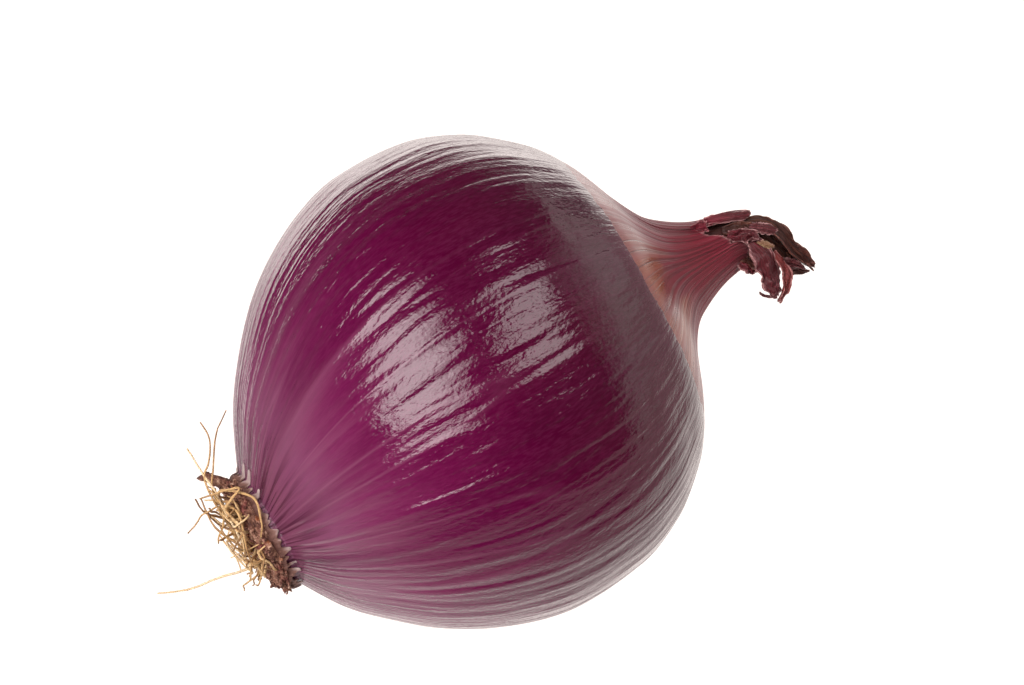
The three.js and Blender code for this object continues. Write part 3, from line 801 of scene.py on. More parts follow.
capFlaps = {
    "hangingFlap": {
        "path": [(91.2, 2.6, 4.7), (91.6, 5, 5.4), (91.5, 7.4, 5.4), (91.3, 9.6, 5), (90.8, 11.6, 4.5),
                 (90.2, 12.8, 4.1)],
        "widths": [1.7, 3.6, 4.1, 4.2, 3, 0.7], "across": (0.95, 0, -0.25),
        "crumple": 0.6, "curl": 0.3, "seed": 51,
    },
    "orangeLobe": {
        "path": [(93.6, 6, 4.9), (93.9, 8.6, 4.7), (93.5, 10.8, 4.4), (92.2, 12.5, 4), (90.4, 13.6, 3.6)],
        "widths": [1, 1.7, 1.8, 1.4, 0.3], "across": (0.9, 0.25, -0.4),
        "crumple": 0.3, "curl": -0.4, "seed": 57, "warm": 0.55,
    },
    "darkHook": {
        "path": [(90.6, 12.6, 4.2), (89.7, 12, 4), (88.8, 11.3, 4.1), (88.4, 10.6, 4.4)],
        "widths": [0.9, 0.5, 0.4, 0.3], "across": (-0.3, 0.8, 0.4),
        "crumple": 0.08, "curl": 0.2, "seed": 59, "dry": 1,
    },
    "notchFlap": {
        "path": [(88.6, 4.8, 3), (89.2, 6.2, 3.5), (89.7, 7.6, 3.1)],
        "widths": [2.6, 2.4, 0.7], "across": (0.9, 0.2, -0.3),
        "crumple": 0.28, "curl": 0.3, "seed": 61,
    },
    "turnedBackEdge": {
        "path": [(83.4, -4, 4.1), (84.8, -3.3, 4.8), (86, -2.8, 4.8)],
        "widths": [0.7, 2, 2], "across": (0.35, 0.9, 0.2),
        "crumple": 0.16, "curl": 0.45, "seed": 67,
    },
    "upperFold": {
        "path": [(86.2, -3.9, 3.8), (88.8, -3.1, 4.4), (91.2, -2.1, 4.4), (93, -1.5, 3.9), (94, -1.6, 3.5)],
        "widths": [0.9, 1.9, 1.9, 1.2, 0.2], "across": (-0.3, 0.9, 0.25),
        "crumple": 0.16, "curl": -0.3, "seed": 71,
    },
    "foldOnLeaf": {
        "path": [(92.2, 0.4, 4.2), (93.5, 1.4, 4.8), (94.8, 2.4, 4.8), (96.2, 3.4, 4.1)],
        "widths": [1.1, 1.7, 1.7, 0.9], "across": (-0.5, 0.8, 0.1),
        "crumple": 0.2, "curl": -0.3, "seed": 95,
    },
    "innerBit": {
        "path": [(88.4, -0.1, 3.9), (89.7, 0.9, 4.5), (91.2, 1.6, 4.7), (92.4, 2.8, 4.5)],
        "widths": [1.3, 2.3, 2.4, 1.2], "across": (-0.5, 0.8, 0.1),
        "crumple": 0.42, "curl": 0.3, "seed": 97,
    },
    "innerStrip": {
        "path": [(91.2, 0.2, 4.6), (91.9, 1.6, 5.1), (92.4, 3.2, 5.3), (92.9, 4.8, 5.2)],
        "widths": [0.5, 0.8, 0.9, 0.5], "across": (0.9, -0.4, 0.1),
        "crumple": 0.2, "curl": 0.3, "seed": 101,
    },
    "strawBit": {
        "path": [(92, 3.2, 5), (92.8, 4.3, 5.4), (94, 5.4, 5.2)],
        "widths": [0.6, 1, 0.4], "across": (0.9, -0.4, 0.1),
        "crumple": 0.1, "curl": 0.2, "seed": 103, "straw": 1,
    },
    "curledEnd": {
        "path": [(94.7, 8.1, 2.3), (95.5, 9.3, 3), (96.7, 10.2, 3), (97.8, 11.3, 2.2)],
        "widths": [1.1, 1.8, 1.5, 0.5], "across": (0.6, -0.7, 0.3),
        "crumple": 0.35, "curl": 0.9, "seed": 91, "dry": 0.6,
    },
}


def makePaperyCap():
    pieces = [makeCap()]
    for name, leaf in capFlaps.items():
        pieces.append(tornLeaf(name, leaf, capPaper))
    piece = joinPieces("paperyCap", pieces)
    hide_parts("papery_cap")
    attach(piece, "root")


makePaperyCap()
print("onion: papery cap made")

# Dry leaves

driedLeaf = makePaperMaterial("Dried inner leaf", {
    "span": (2.05, 2.6),
    "ramp": [
        (0.0, (74, 22, 24)), (0.3, (66, 28, 24)), (0.5, (86, 44, 30)),
        (0.72, (70, 28, 22)), (0.9, (84, 38, 26)), (1.0, (176, 130, 94)),
    ],
    "patch": (76, 30, 24),
    "pale": (98, 60, 44),
    # the dark veins, and the painted shade in the pleats' folds
    "dark": (24, 8, 8),
    "edge": (160, 104, 90),
    "edgeShare": 0.4,
    "sheen": 0.04,
    "gloss": 1.4,
    "roughness": (0.42, 0.6),
    "neckMatt": 0.0,
    "tints": {},
})

leafSettings = {
    "bundle": [(83.6, 5.1), (87, 4.1), (91, 3.3), (95, 2.6), (99, 1.9), (102, 0.6)],
    "rows": 90,
    "columns": 216,
    "pleats": 13,
    "hollowSide": facingAngle + math.radians(25),
}

dryLeafEnds = {
    "outerLeaf": {
        "path": [(91.6, -0.9, 2.9), (93.9, 0, 3.4), (95.5, 1.7, 3.5), (96.5, 3.9, 3.3), (97, 6.1, 2.9),
                 (97.7, 8.3, 2.2), (98.7, 10.2, 1.4), (99.6, 12, 0.5)],
        "widths": [1.6, 2.4, 2.8, 3, 3, 2.6, 1.7, 0.5], "across": (0.75, -0.3, -0.55),
        "crumple": 0.34, "curl": -0.7, "seed": 81, "steps": 80, "ribs": 0.18,
    },
    "hollowLeaf": {
        "path": [(92.8, 1.8, 2.2), (94.3, 3.9, 2.3), (95.1, 6.3, 2), (95.5, 9, 1.5), (96.4, 11, 1)],
        "widths": [2, 2.6, 2.6, 2.4, 1], "across": (0.85, -0.4, 0.1),
        "crumple": 0.25, "curl": 0.8, "seed": 87,
    },
    "lowerLeaf": {
        "path": [(94.2, 7.4, 1.2), (95.6, 9.6, 1.6), (97, 11.2, 1.4), (98.6, 12, 0.9)],
        "widths": [1.6, 1.8, 1.4, 0.5], "across": (0.7, -0.6, 0.2),
        "crumple": 0.3, "curl": 0.6, "seed": 92,
    },
    "backing": {
        "path": [(89.2, 2.8, 3), (90.2, 5.2, 3.5), (91.4, 7.8, 3.4)],
        "widths": [1.6, 3, 1.4], "across": (0.9, -0.1, -0.2),
        "crumple": 0.3, "curl": 0.3, "seed": 93,
    },
    "tornBit": {
        "path": [(88.2, -1.2, 3.4), (90.4, -0.2, 3.9), (92.6, 0.9, 3.9)],
        "widths": [1.2, 2, 1.4], "across": (-0.5, 0.8, 0.1),
        "crumple": 0.25, "curl": 0.4, "seed": 99,
    },
}


def makeBundle():
    step = np.linspace(0, 1, leafSettings["rows"])[:, None]
    angle = aroundColumns(leafSettings["columns"])[None, :]
    along = splineAt(leafSettings["bundle"], step)
    station, radius = along[..., 0], along[..., 1]
    openShare = smoothStep(84, 93, station)
    facing = np.maximum(0, np.cos(angle - leafSettings["hollowSide"]))
    pleat = 0.09 * np.cos(leafSettings["pleats"] * angle + 0.2 * station)
    pleat = pleat + 0.07 * field(44 * (angle / (2 * math.pi)), station / 3, 44, 103)
    radius = radius * (1 + (pleat - 0.35 * facing**2) * openShare)
    piece = sheetPiece("bundle", onionPoint(station, angle, radius), roundGrain(angle, station),
                       capFirst=True, capLast=True)
    piece.data.materials.append(driedLeaf)
    faceOutwards(piece)
    return piece


def makeDryLeaves():
    pieces = [makeBundle()]
    for name, leaf in dryLeafEnds.items():
        pieces.append(tornLeaf(name, leaf, driedLeaf))
    piece = joinPieces("dryLeaves", pieces)
    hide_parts("dry_leaves")
    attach(piece, "root")


makeDryLeaves()
print("onion: dry leaves made")

# Skin collar

collarSettings = {
    "columns": 760,
    "rows": 12,
    "teeth": [
        {"count": 17, "height": (-0.2, 0.8), "halfWidth": (0.05, 0.1)},
        {"count": 36, "height": (-0.6, 0.2), "halfWidth": (0.02, 0.05)},
    ],
    # degrees from the facing side, height and half width of the teeth that show most
    "frontTeeth": [
        (-64, 0.9, 6), (-51, 0.8, 5.4), (-42, 0, 3), (-33, 0.5, 4.6), (-20, -0.6, 3), (-12, -0.1, 3.6),
        (-6, -0.4, 2.4), (4, -0.1, 4.6), (14, -0.3, 3), (24, 0.3, 4.4), (31, -0.4, 2),
    ],
    "baseStation": -2.1,
    "baseRadius": 9.4,
    "lift": 0.22,
    "thickness": 0.2,
    "seed": 111,
}


def makeCollarMaterial():
    material, tree, shader = newMaterial("Pale torn skin", Roughness=0.7, IOR=1.4)
    grain = shaderGrain(tree)
    along = alongOf(tree, grain)
    stain = grainNoise(tree, grain, 16.0, 8.0, 41.0, 3.0)
    place = plus(tree, along, times(tree, minus(tree, stain, 0.5), 0.05))
    tone = colourRamp(tree, spread(tree, place, -0.05, 0.05), [
        (0.0, (78, 46, 38)), (0.25, (118, 84, 74)), (0.45, (160, 138, 134)),
        (1.0, (186, 174, 170)),
    ])
    tree.links.new(tone, shader.inputs["Base Color"])
    bumpFrom(tree, shader, grainNoise(tree, grain, 60.0, 12.0, 42.0, 3.0), 0.08)
    return material


def makeCollar():
    source = random.Random(collarSettings["seed"])
    angle = aroundColumns(collarSettings["columns"])
    around = angle / (2 * math.pi)
    low = -1.0 + 0.45 * ringField(around, 22, 115)
    reach = low
    teeth = [(kind, number) for kind in collarSettings["teeth"] for number in range(kind["count"])]
    places = [(facingAngle + math.radians(turn), math.radians(half), height)
              for turn, height, half in collarSettings["frontTeeth"]]
    for kind, number in teeth:
        centre = 2 * math.pi * (number + 0.8 * source.random()) / kind["count"]
        halfWidth, height = source.uniform(*kind["halfWidth"]), source.uniform(*kind["height"])
        turn = (math.degrees(centre - facingAngle) + 180) % 360 - 180
        if not -70 < turn < 36:
            places.append((centre, halfWidth, height))
    for centre, halfWidth, height in places:
        skew = source.uniform(-0.7, 0.7)
        away = ((angle - centre + math.pi) % (2 * math.pi) - math.pi) / halfWidth
        away = np.abs(away * (1 + 0.4 * np.sign(away) * skew))
        reach = np.maximum(reach, low + (height - low) * np.clip(1.3 * (1 - away), 0, 1) ** 0.9)
    reach = reach + 0.14 * ringField(around, 170, 112)
    step = np.linspace(0, 1, collarSettings["rows"])[:, None]
    station = collarSettings["baseStation"] * (1 - step) + reach[None, :] * step
    outline = outlineRadius(np.maximum(station, 0)) + collarSettings["lift"]
    curl = 0.3 * smoothStep(0.5, 1, step) * (0.4 + 0.6 * ringField(around, 46, 113))
    hug = smoothStep(0, 0.6, step)
    radius = collarSettings["baseRadius"] * (1 - hug) + outline * hug + curl
    radius = radius + 0.12 * field(60 * around, 3 * step, 60, 114)
    piece = sheetPiece("collar", onionPoint(station, angle, radius), roundGrain(angle, station))
    piece.data.materials.append(makeCollarMaterial())
    pointOutwards(piece)
    thicken(piece, collarSettings["thickness"])
    piece.name = "tornCollar"
    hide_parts("skin_collar")
    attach(piece, "root")


makeCollar()
print("onion: collar made")

# Root plate

plateSettings = {
    "columns": 320,
    "rows": 64,
    # the dome as stations and radii, from its edge on the bulb to its middle
    "profile": [(-1.1, 8.9), (-1.5, 9.6), (-2.3, 9.9), (-3, 9.3), (-3.6, 7.5), (-3.9, 5), (-4.1, 2.4),
                (-4.2, 0.6)],
    "roughness": 1.15,
    "crumbs": {"Crumb density": 900000.0, "Crumb size": 0.3, "Seed": 5},
    "flakes": 52,
    "seed": 7,
}


def makePlateMaterial():
    material, tree, shader = newMaterial("Corky plate", Roughness=0.85, IOR=1.4)
    place = addNode(tree, "ShaderNodeTexCoord").outputs["Object"]
    shade = times(tree, attributeOf(tree, "shade"), 0.14)
    mixed = plus(tree, noiseAt(tree, place, 900.0, 1.0, 4.0), shade)
    tone = colourRamp(tree, mixed, [
        (0.26, (44, 24, 20)), (0.42, (94, 60, 50)), (0.56, (140, 100, 82)),
        (0.72, (190, 156, 134)),
    ])
    red = times(tree, spread(tree, noiseAt(tree, place, 420.0, 2.0, 3.0), 0.5, 0.66), 0.55)
    tone = mixColours(tree, red, tone, (122, 58, 56))
    rust = times(tree, spread(tree, noiseAt(tree, place, 520.0, 5.0, 2.0), 0.62, 0.72), 0.6)
    tone = mixColours(tree, rust, tone, (150, 82, 40))
    tree.links.new(tone, shader.inputs["Base Color"])
    bumpFrom(tree, shader, noiseAt(tree, place, 2600.0, 3.0, 4.0), 0.2)
    return material


# The tree that strews crumbs over a surface and roughens the crumbs.
def makeCrumbTree():
    tree, given = newTree("Crumbs", [
        ("Material", "Material"), ("Crumb density", "Float"), ("Crumb size", "Float"), ("Seed", "Int"),
    ])
    inputs = {"Mesh": given["Geometry"], "Density": given["Crumb density"], "Seed": given["Seed"]}
    spots = addNode(tree, "GeometryNodeDistributePointsOnFaces", inputs)
    size = times(tree, given["Crumb size"], mm)
    crumb = addNode(tree, "GeometryNodeMeshIcoSphere", {"Radius": size, "Subdivisions": 2}).outputs[0]
    turn = randomVector(tree, (0, 0, 0), (6.28, 6.28, 6.28), 3)
    grow = randomVector(tree, (0.3, 0.3, 0.3), (2.4, 1.3, 1.0), 4)
    inputs = {"Points": spots.outputs["Points"], "Instance": crumb, "Rotation": turn, "Scale": grow}
    placed = addNode(tree, "GeometryNodeInstanceOnPoints", inputs).outputs[0]
    placed = storeShade(tree, placed, randomValue(tree, -1.0, 1.0, {"Seed": 6}), "INSTANCE")
    real = addNode(tree, "GeometryNodeRealizeInstances", {"Geometry": placed}).outputs[0]
    rough = roughen(tree, real, 1500.0, 2.0, times(tree, size, 1.6))
    joined = addNode(tree, "GeometryNodeJoinGeometry")
    tree.links.new(rough, joined.inputs[0])
    tree.links.new(given["Geometry"], joined.inputs[0])
    closeTree(tree, joined.outputs[0], given["Material"])
    return tree


def makePlateBody():
    angle = aroundColumns(plateSettings["columns"])[None, :]
    step = np.linspace(0, 1, plateSettings["rows"])[:, None]
    along = splineAt(plateSettings["profile"], step)
    around = angle / (2 * math.pi)
    lumps = 0.55 * field(26 * around, 9 * step, 26, 121)
    lumps = lumps + 0.4 * field(70 * around, 22 * step, 70, 122)
    lumps = lumps + 0.2 * field(160 * around, 50 * step, 160, 123)
    lumps = lumps * plateSettings["roughness"] * smoothStep(0, 0.15, step)
    inward = np.minimum(1, along[..., 1] / 4)
    radius = along[..., 1] + lumps * inward
    station = along[..., 0] - 0.5 * lumps * inward
    piece = sheetPiece("plate", onionPoint(station, angle, radius), roundGrain(angle, station),
                       capFirst=True, capLast=True)
    faceOutwards(piece)
    return piece


flakeSettings = {
    "station": -2.2,
    "innerRadius": 8.3,
    "outerRadius": 8.6,
    "bow": 0.3,
    "rows": 14,
    "columns": 12,
}


# A torn flake of the plate: its angle, how far it stands out and drops, its half width, how much it
# tapers, and its half depth.
def plateFlake(name, angle, out, drop, halfWidth, seed, taper, depth):
    station, outerRadius = flakeSettings["station"], flakeSettings["outerRadius"]
    base = onionPoint(station, angle, flakeSettings["innerRadius"])
    tip = onionPoint(station - drop, angle, outerRadius + out)
    outwards = onionPoint(station, angle, 1) - onionPoint(station, angle, 0)
    middle = (base + tip) / 2 + outwards * flakeSettings["bow"]
    step = np.linspace(0, 1, flakeSettings["rows"])[:, None]
    turn = aroundColumns(flakeSettings["columns"])[None, :]
    spine = splineAt([base, middle, tip], step)
    sideways = onionPoint(station, angle + 0.5, outerRadius) - onionPoint(station, angle - 0.5, outerRadius)
    sideways /= np.linalg.norm(sideways)
    girth = (1 - taper * step**1.5) * (1 + 0.35 * field(4 * turn / 3.14, 5 * step, 16, seed))
    axisWay = np.array([1.0, 0, 0])
    rows = spine + sideways * (halfWidth * 9 * girth * np.cos(turn))[..., None]
    rows = rows + axisWay * (depth * girth * np.sin(turn))[..., None]
    piece = sheetPiece(name, rows, roundGrain(turn, step * 4), capFirst=True, capLast=True)
    faceOutwards(piece)
    return piece


def makePlate():
    source = random.Random(plateSettings["seed"])
    material = makePlateMaterial()
    pieces = [makePlateBody()]
    for flake in range(plateSettings["flakes"]):
        angle = 2 * math.pi * (flake + 0.6 * source.random()) / plateSettings["flakes"]
        sizes = (source.uniform(0.6, 2.4), source.uniform(-1.6, 0.8), source.uniform(0.02, 0.08))
        depth = source.uniform(0.2, 0.45)
        pieces.append(plateFlake(f"flake{flake}", angle, *sizes, 130 + flake, 0.6, depth))
    # the thick torn nub that stands out at the lower side
    pieces.append(plateFlake("nub", facingAngle - math.radians(78), 4.3, 3.2, 0.12, 170, 0.1, 1.05))
    piece = joinPieces("corkyPlate", pieces)
    runTree(piece, makeCrumbTree(), {**plateSettings["crumbs"], "Material": material})
    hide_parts("root_plate")
    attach(piece, "root")


makePlate()
print("onion: root plate made")

# Roots

# Ways of the roots that show most: along the axis, then towards the leaning and the facing side of the
# root ring's middle.
rootWays = [
    [(-5.2, -1, 2), (-5.4, -7, 4.5), (-5.2, -9.8, 5), (-3.2, -13.3, 5), (0.2, -18, 4.5), (2.8, -19.6, 4)],
    [(-5.4, -1, 2), (-6, -8, 5), (-5.4, -12, 5), (-3.5, -14, 5), (-1.6, -17.6, 4.5), (-1.6, -20.1, 4)],
    [(-5.3, 2, 3), (-5.3, -1.8, 5.4), (-5.3, -6, 5.8), (-5.3, -10, 5.4), (-5.5, -14.4, 4.5),
     (-5.7, -17.5, 4)],
    [(-5.4, -2, 2), (-5.6, -6.7, 4.5), (-6.9, -7.2, 4.5), (-9.2, -6.9, 4), (-11.9, -5.7, 3.5)],
    [(-5.4, -2, 3), (-5.9, -4.6, 4.6), (-7, -3.8, 4.8), (-8.7, -1.9, 4)],
    [(-5.4, -1, 2), (-7.2, -1.4, 3.5), (-7.5, 0.1, 3.5), (-7, 2.7, 4), (-6.3, 4.7, 4.3)],
    [(-5.3, 1.5, 2), (-5.9, 3.7, 3.4), (-9.9, 3, 2.5), (-16.2, 1.9, 1.5), (-20.7, 0.3, 0.8)],
    [(-5.3, 1.9, 3), (-6, -0.3, 4.4), (-7.5, -3.5, 4.4), (-7.9, -7.2, 4), (-7.5, -9.6, 3.6)],
    [(-5, -7, 4), (-4.6, -9, 6.2), (-2.3, -7.4, 8.6), (-0.9, -4.8, 10.1), (-1.6, -1.9, 10.8),
     (-2.9, 0.4, 10.4)],
    [(-5, -7.4, 6), (-3.6, -6, 8), (-4.4, -3.3, 9), (-5.4, -0.6, 8.6), (-5.9, 1.6, 7.2)],
    [(-4.6, -6.4, 7), (-4, -4.6, 8.9), (-4.7, -2, 9.4), (-5.6, 1, 8.4), (-5.9, 3.4, 6.6)],
    [(-5.2, -5.4, 6.4), (-4.8, -3, 8.4), (-5.6, -0.4, 8.6), (-6.3, 2.2, 7.4)],
]

rootSettings = {
    "thickness": 0.54,
    "shortRoots": 24,
    "fineRoots": 20,
    "tangledRoots": 11,
    "pointsEach": 26,
    "wiggle": 0.16,
    "lowest": 0.4,
    "seed": 33,
}


def makeRootMaterial():
    material, tree, shader = newMaterial("Dry root", Roughness=0.6, IOR=1.4)
    place = addNode(tree, "ShaderNodeTexCoord").outputs["Object"]
    shade = attributeOf(tree, "shade")
    noise = addNode(tree, "ShaderNodeTexNoise", {"Vector": place, "Scale": 500.0, "Detail": 3.0})
    mixed = plus(tree, times(tree, shade, 0.75), times(tree, noise.outputs[0], 0.4))
    tone = colourRamp(tree, mixed, [
        (0.0, (100, 70, 50)), (0.25, (152, 116, 76)), (0.5, (190, 154, 104)),
        (0.75, (210, 180, 136)), (0.95, (222, 200, 164)),
    ])
    tree.links.new(tone, shader.inputs["Base Color"])
    return material


# The tree that gives each root its own thickness and shade. A root thins and darkens to its tip, and
# has small knots.
def makeRootTree():
    tree, given = newTree("Roots", [
        ("Material", "Material"), ("Thickness", "Float"), ("Sides", "Int"), ("Seed", "Int"),
    ])
    factor = addNode(tree, "GeometryNodeSplineParameter").outputs["Factor"]
    index = addNode(tree, "GeometryNodeCurveOfPoint").outputs["Curve Index"]
    thickness = randomValue(tree, 0.65, 1.1, {"ID": index, "Seed": given["Seed"]})
    shade = randomValue(tree, 0.0, 1.0, {"ID": index, "Seed": 8})
    thin = minus(tree, 1.0, times(tree, factor, 0.5))
    radius = times(tree, times(tree, given["Thickness"], 0.5 * mm), thin)
    radius = times(tree, radius, thickness)
    shade = minus(tree, shade, times(tree, times(tree, factor, factor), 0.3))
    stored = storeShade(tree, given["Geometry"], shade, "POINT")
    inputs = {"Resolution": given["Sides"], "Radius": 1.0}
    profile = addNode(tree, "GeometryNodeCurvePrimitiveCircle", inputs).outputs[0]
    inputs = {"Curve": stored, "Profile Curve": profile, "Scale": radius, "Fill Caps": True}
    tube = addNode(tree, "GeometryNodeCurveToMesh", inputs).outputs[0]
    knotty = roughen(tree, tube, 900.0, 1.0, 0.22 * mm)
    smooth = addNode(tree, "GeometryNodeSetShadeSmooth", {"Geometry": knotty}).outputs[0]
    closeTree(tree, smooth, given["Material"])
    return tree


def shortRootWay(source, start, spreadOut, dropMost):
    angle = source.uniform(0, 2 * math.pi)
    turn = angle + source.uniform(-0.9, 0.9)
    leaning = max(0.0, math.cos(turn - facingAngle - math.radians(75)))
    length = source.uniform(*spreadOut) * (1 - 0.85 * leaning)
    tip = -5 - dropMost * source.random()
    middle = (angle + turn) / 2 + source.uniform(-0.3, 0.3)
    return [
        onionPoint(-3.4, angle, start), onionPoint(-4.8, angle, start + 1.6),
        onionPoint(tip + 0.6, middle, start + 1.6 + length * 0.5),
        onionPoint(tip, turn, start + 1.6 + length),
    ]


def makeRoots():
    source = random.Random(rootSettings["seed"])
    ways = []
    for way in rootWays:
        way = np.array(way, float)
        ways.append(leanPlaces(way[:, 0], form["rootShift"] + way[:, 1], way[:, 2]))
    for number in range(rootSettings["shortRoots"]):
        ways.append(shortRootWay(source, source.uniform(1, 5.5), (2, 7), 3.4))
    for number in range(rootSettings["fineRoots"]):
        ways.append(shortRootWay(source, source.uniform(4, 7.5), (0.5, 3.5), 1.6))
    for number in range(rootSettings["tangledRoots"]):
        across, step = source.uniform(-8, 5), source.uniform(-5, 5)
        heights = [source.uniform(*span) for span in ((4, 7), (7.5, 9.6), (8, 10), (5, 9))]
        stations = [-3.6] + [source.uniform(*span) for span in ((-6, -3.4), (-6.5, -2), (-8.5, -1))]
        leans = [form["rootShift"] + across + step * part for part in (0, 0.35, 0.7, 1.1)]
        ways.append([leanPlaces(*place) for place in zip(stations, leans, heights)])
    curves = bpy.data.curves.new("rootWays", "CURVE")
    curves.dimensions = "3D"
    share = np.linspace(0, 1, rootSettings["pointsEach"])
    for number, way in enumerate(ways):
        points = splineAt(np.array(way), share)
        wiggle = np.array([[source.uniform(-1, 1) for axis in range(3)] for point in range(8)])
        wiggle = rootSettings["wiggle"] * splineAt(wiggle, share)
        points = points + wiggle * smoothStep(0, 0.2, share)[:, None]
        points[:, 2] = np.maximum(points[:, 2], rootSettings["lowest"])
        spline = curves.splines.new("POLY")
        spline.points.add(len(points) - 1)
        spline.points.foreach_set("co", np.hstack([points * mm, np.ones((len(points), 1))]).ravel())
    settings = {"Material": makeRootMaterial(), "Thickness": rootSettings["thickness"], "Sides": 7, "Seed": 2}
    piece = runTree(newPiece("rootLines", curves), makeRootTree(), settings)
    piece.name = "dryRoots"
    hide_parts("roots")
    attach(piece, "root")


makeRoots()
print("onion: roots made")

# Studio

view = {
    "azimuth": math.radians(-31.4),
    "elevation": math.radians(68),
    "distance": 551.0,
    "target": (9.69, 1.62, 42.41),
    "lens": 120,
    "sensor": 36,
}


# The direction from the onion to a place at an azimuth and an elevation.
def backFrom(azimuth, elevation):
    level = math.cos(elevation)
    return Vector((math.sin(azimuth) * level, -math.cos(azimuth) * level, math.sin(elevation)))


def makeCamera():
    data = bpy.data.cameras.new("camera")
    data.lens, data.sensor_width, data.clip_start = view["lens"], view["sensor"], 0.01
    camera = newPiece("camera", data)
    back = backFrom(view["azimuth"], view["elevation"])
    camera.location = (Vector(view["target"]) + back * view["distance"]) * mm
    camera.rotation_euler = back.to_track_quat("Z", "Y").to_euler()
    bpy.context.scene.camera = camera


# The way from the onion to each softbox, its distance and its size in metres, and its radiance.
softboxes = {
    "leftSoftbox": ((-0.545, 0.03, 0.83), 0.6, (0.44, 0.63), 3.4),
    "leftSoftboxMiddle": ((-0.585, 0.045, 0.83), 0.58, (0.32, 0.5), 3.2),
    "leftSoftboxCore": ((-0.63, 0.06, 0.83), 0.56, (0.18, 0.4), 3.2),
    "rightSoftbox": ((0.377, -0.12, 0.85), 0.6, (0.32, 0.42), 2.7),
    "rightSoftboxCore": ((0.36, -0.1, 0.86), 0.58, (0.2, 0.3), 2.7),
}
softboxHeight = 0.04  # of the place they all point at
softboxColour = (1.0, 0.94, 0.93)


def makeSoftbox(name, way, distance, size, radiance):
    data = bpy.data.lights.new(name, "AREA")
    data.shape = "RECTANGLE"
    data.size, data.size_y = size
    data.energy = radiance * math.pi * data.size * data.size_y
    data.color = softboxColour
    away = Vector(way).normalized()
    forward = Vector((-math.sin(view["azimuth"]), math.cos(view["azimuth"]), 0))
    forward = (forward - away * forward.dot(away)).normalized()
    lamp = newPiece(name, data)
    axes = Matrix((forward.cross(away), forward, away)).transposed().to_4x4()
    lamp.matrix_world = Matrix.Translation(away * distance + Vector((0, 0, softboxHeight))) @ axes


# A card that only shows in reflections. Each of its posts has a turn in degrees from +X, then places
# from its near edge to its far one: the distance and the height in metres, and the share of the light.
def makeCard(name, card):
    posts = card["posts"]
    across = len(posts[0]) - 1
    corners, shares = [], []
    for turn, *places in posts:
        way = math.cos(math.radians(turn)), math.sin(math.radians(turn))
        corners += [(way[0] * reach, way[1] * reach, height) for reach, height, share in places]
        shares += [share for reach, height, share in places]
    starts = [row * across + column for row in range(len(posts) - 1) for column in range(across - 1)]
    mesh = bpy.data.meshes.new(name)
    mesh.from_pydata(corners, [], [(i, i + 1, i + across + 1, i + across) for i in starts])
    mesh.attributes.new("share", "FLOAT", "POINT").data.foreach_set("value", shares)
    material, tree, shader = newMaterial(name, Roughness=1.0, Specular_IOR_Level=0.0)
    shader.inputs["Base Color"].default_value = (0, 0, 0, 1)
    shader.inputs["Emission Color"].default_value = (*card["radiance"], 1)
    tree.links.new(attributeOf(tree, "share"), shader.inputs["Emission Strength"])
    mesh.materials.append(material)
    piece = newPiece(name, mesh)
    piece.visible_camera = piece.visible_diffuse = False
    piece.visible_shadow = piece.visible_transmission = False


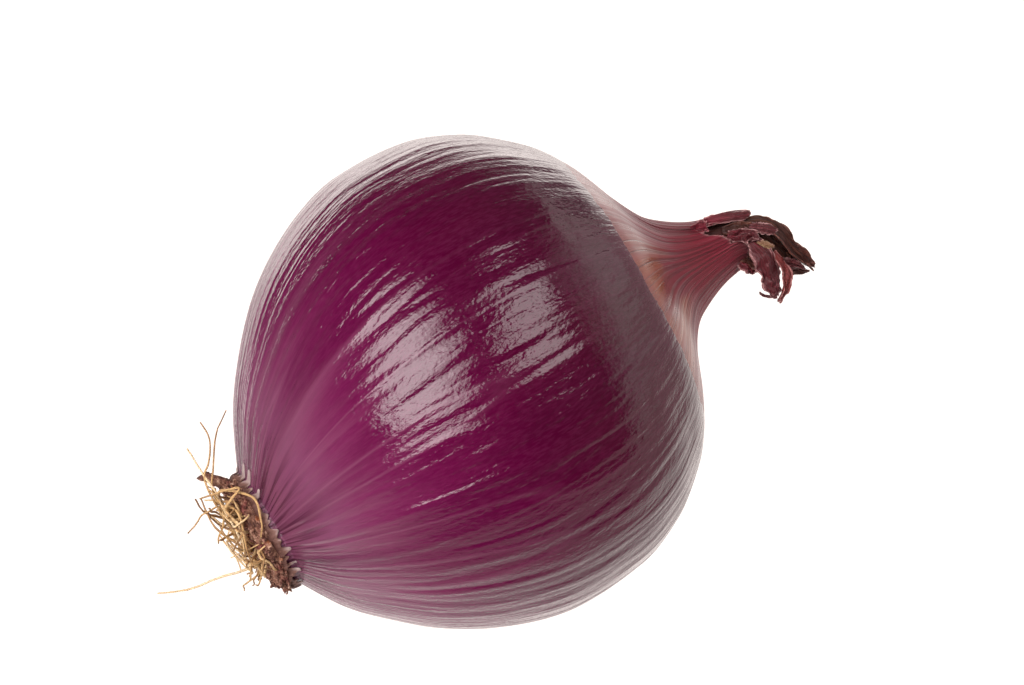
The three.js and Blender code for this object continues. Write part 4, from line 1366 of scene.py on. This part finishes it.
# Turns with the wall's height, with how near the dark flag comes, and with the share of the back light.
wallPosts = [(-52, 0.05), (-36, 0.19), (-18, 0.37), (-5, 0.52), (8, 0.52), (22, 0.34), (40, 0.04), (60, 0.02)]
flagPosts = [(62, 0.6), (80, 0.42), (100, 0.24), (122, 0.11), (137, 0.078), (150, 0.07), (185, 0.066),
             (200, 0.1)]
backPosts = [(24, 0.25), (36, 0.35), (48, 0.7)] + [(turn, 1) for turn in range(60, 121, 12)]
cards = {
    "rightWall": {"radiance": (1.3, 1.2, 1.14), "posts": [
        (turn, (0.9, 0, 1), (0.9, 0.5 * height, 1), (0.9, 1.15 * height, 0.5), (0.9, 2.4 * height, 0))
        for turn, height in wallPosts
    ]},
    "frontFloorCard": {"radiance": (0.9, 0.63, 0.64), "posts": [
        (turn, (0.12, 0.001, 1.15), (0.2, 0.001, 1), (2.5, 0.001, 1)) for turn in range(-160, 21, 20)
    ]},
    "backFloorCard": {"radiance": (2.3, 2.12, 2.04), "posts": [
        (turn, (0.09, 0.001, 0.95), (0.13, 0.001, 1.25), (0.24, 0.001, 0.8 * far), (0.36, 0.001, 0.25 * far),
         (2.5, 0.001, 0.12 * far)) for turn, far in backPosts
    ]},
    "leftFloorFlag": {"radiance": (0.06, 0.055, 0.05), "posts": [
        (turn, (reach, 0.002, 5), (reach * 1.25, 0.002, 1), (2.5, 0.002, 1)) for turn, reach in flagPosts
    ]},
}

floorSettings = {
    "reach": 12.0,
    "height": -5e-5,
    "colour": (0.08, 0.08, 0.08, 1.0),
    "glow": (1.24, 1.13, 1.08, 1.0),
}


def makeFloor():
    reach, height = floorSettings["reach"], floorSettings["height"]
    corners = [(x * reach, y * reach, height) for x, y in ((-1, -1), (1, -1), (1, 1), (-1, 1))]
    mesh = bpy.data.meshes.new("floor")
    mesh.from_pydata(corners, [], [(0, 1, 2, 3)])
    material, tree, shader = newMaterial("Pale floor", Roughness=0.9, Specular_IOR_Level=0.0)
    shader.inputs["Base Color"].default_value = floorSettings["colour"]
    shader.inputs["Emission Color"].default_value = floorSettings["glow"]
    shader.inputs["Emission Strength"].default_value = 1.0
    mesh.materials.append(material)
    newPiece("floor", mesh)


# The surroundings are a dim room, behind a white ground that only shows past the floor.
roomLight = (0.06, 0.045, 0.05, 1)


def makeSurroundings():
    world = bpy.data.worlds.new("surroundings")
    world.use_nodes = True
    tree = world.node_tree
    seen = addNode(tree, "ShaderNodeLightPath").outputs["Is Camera Ray"]
    tone = mixColours(tree, seen, roomLight, (255, 255, 255))
    tree.links.new(tone, tree.nodes["Background"].inputs[0])
    bpy.context.scene.world = world


makeCamera()
for name, softbox in softboxes.items():
    makeSoftbox(name, *softbox)
for name, card in cards.items():
    makeCard(name, card)
makeFloor()
makeSurroundings()
bpy.context.scene.view_settings.view_transform = "Standard"
print("onion: studio made")
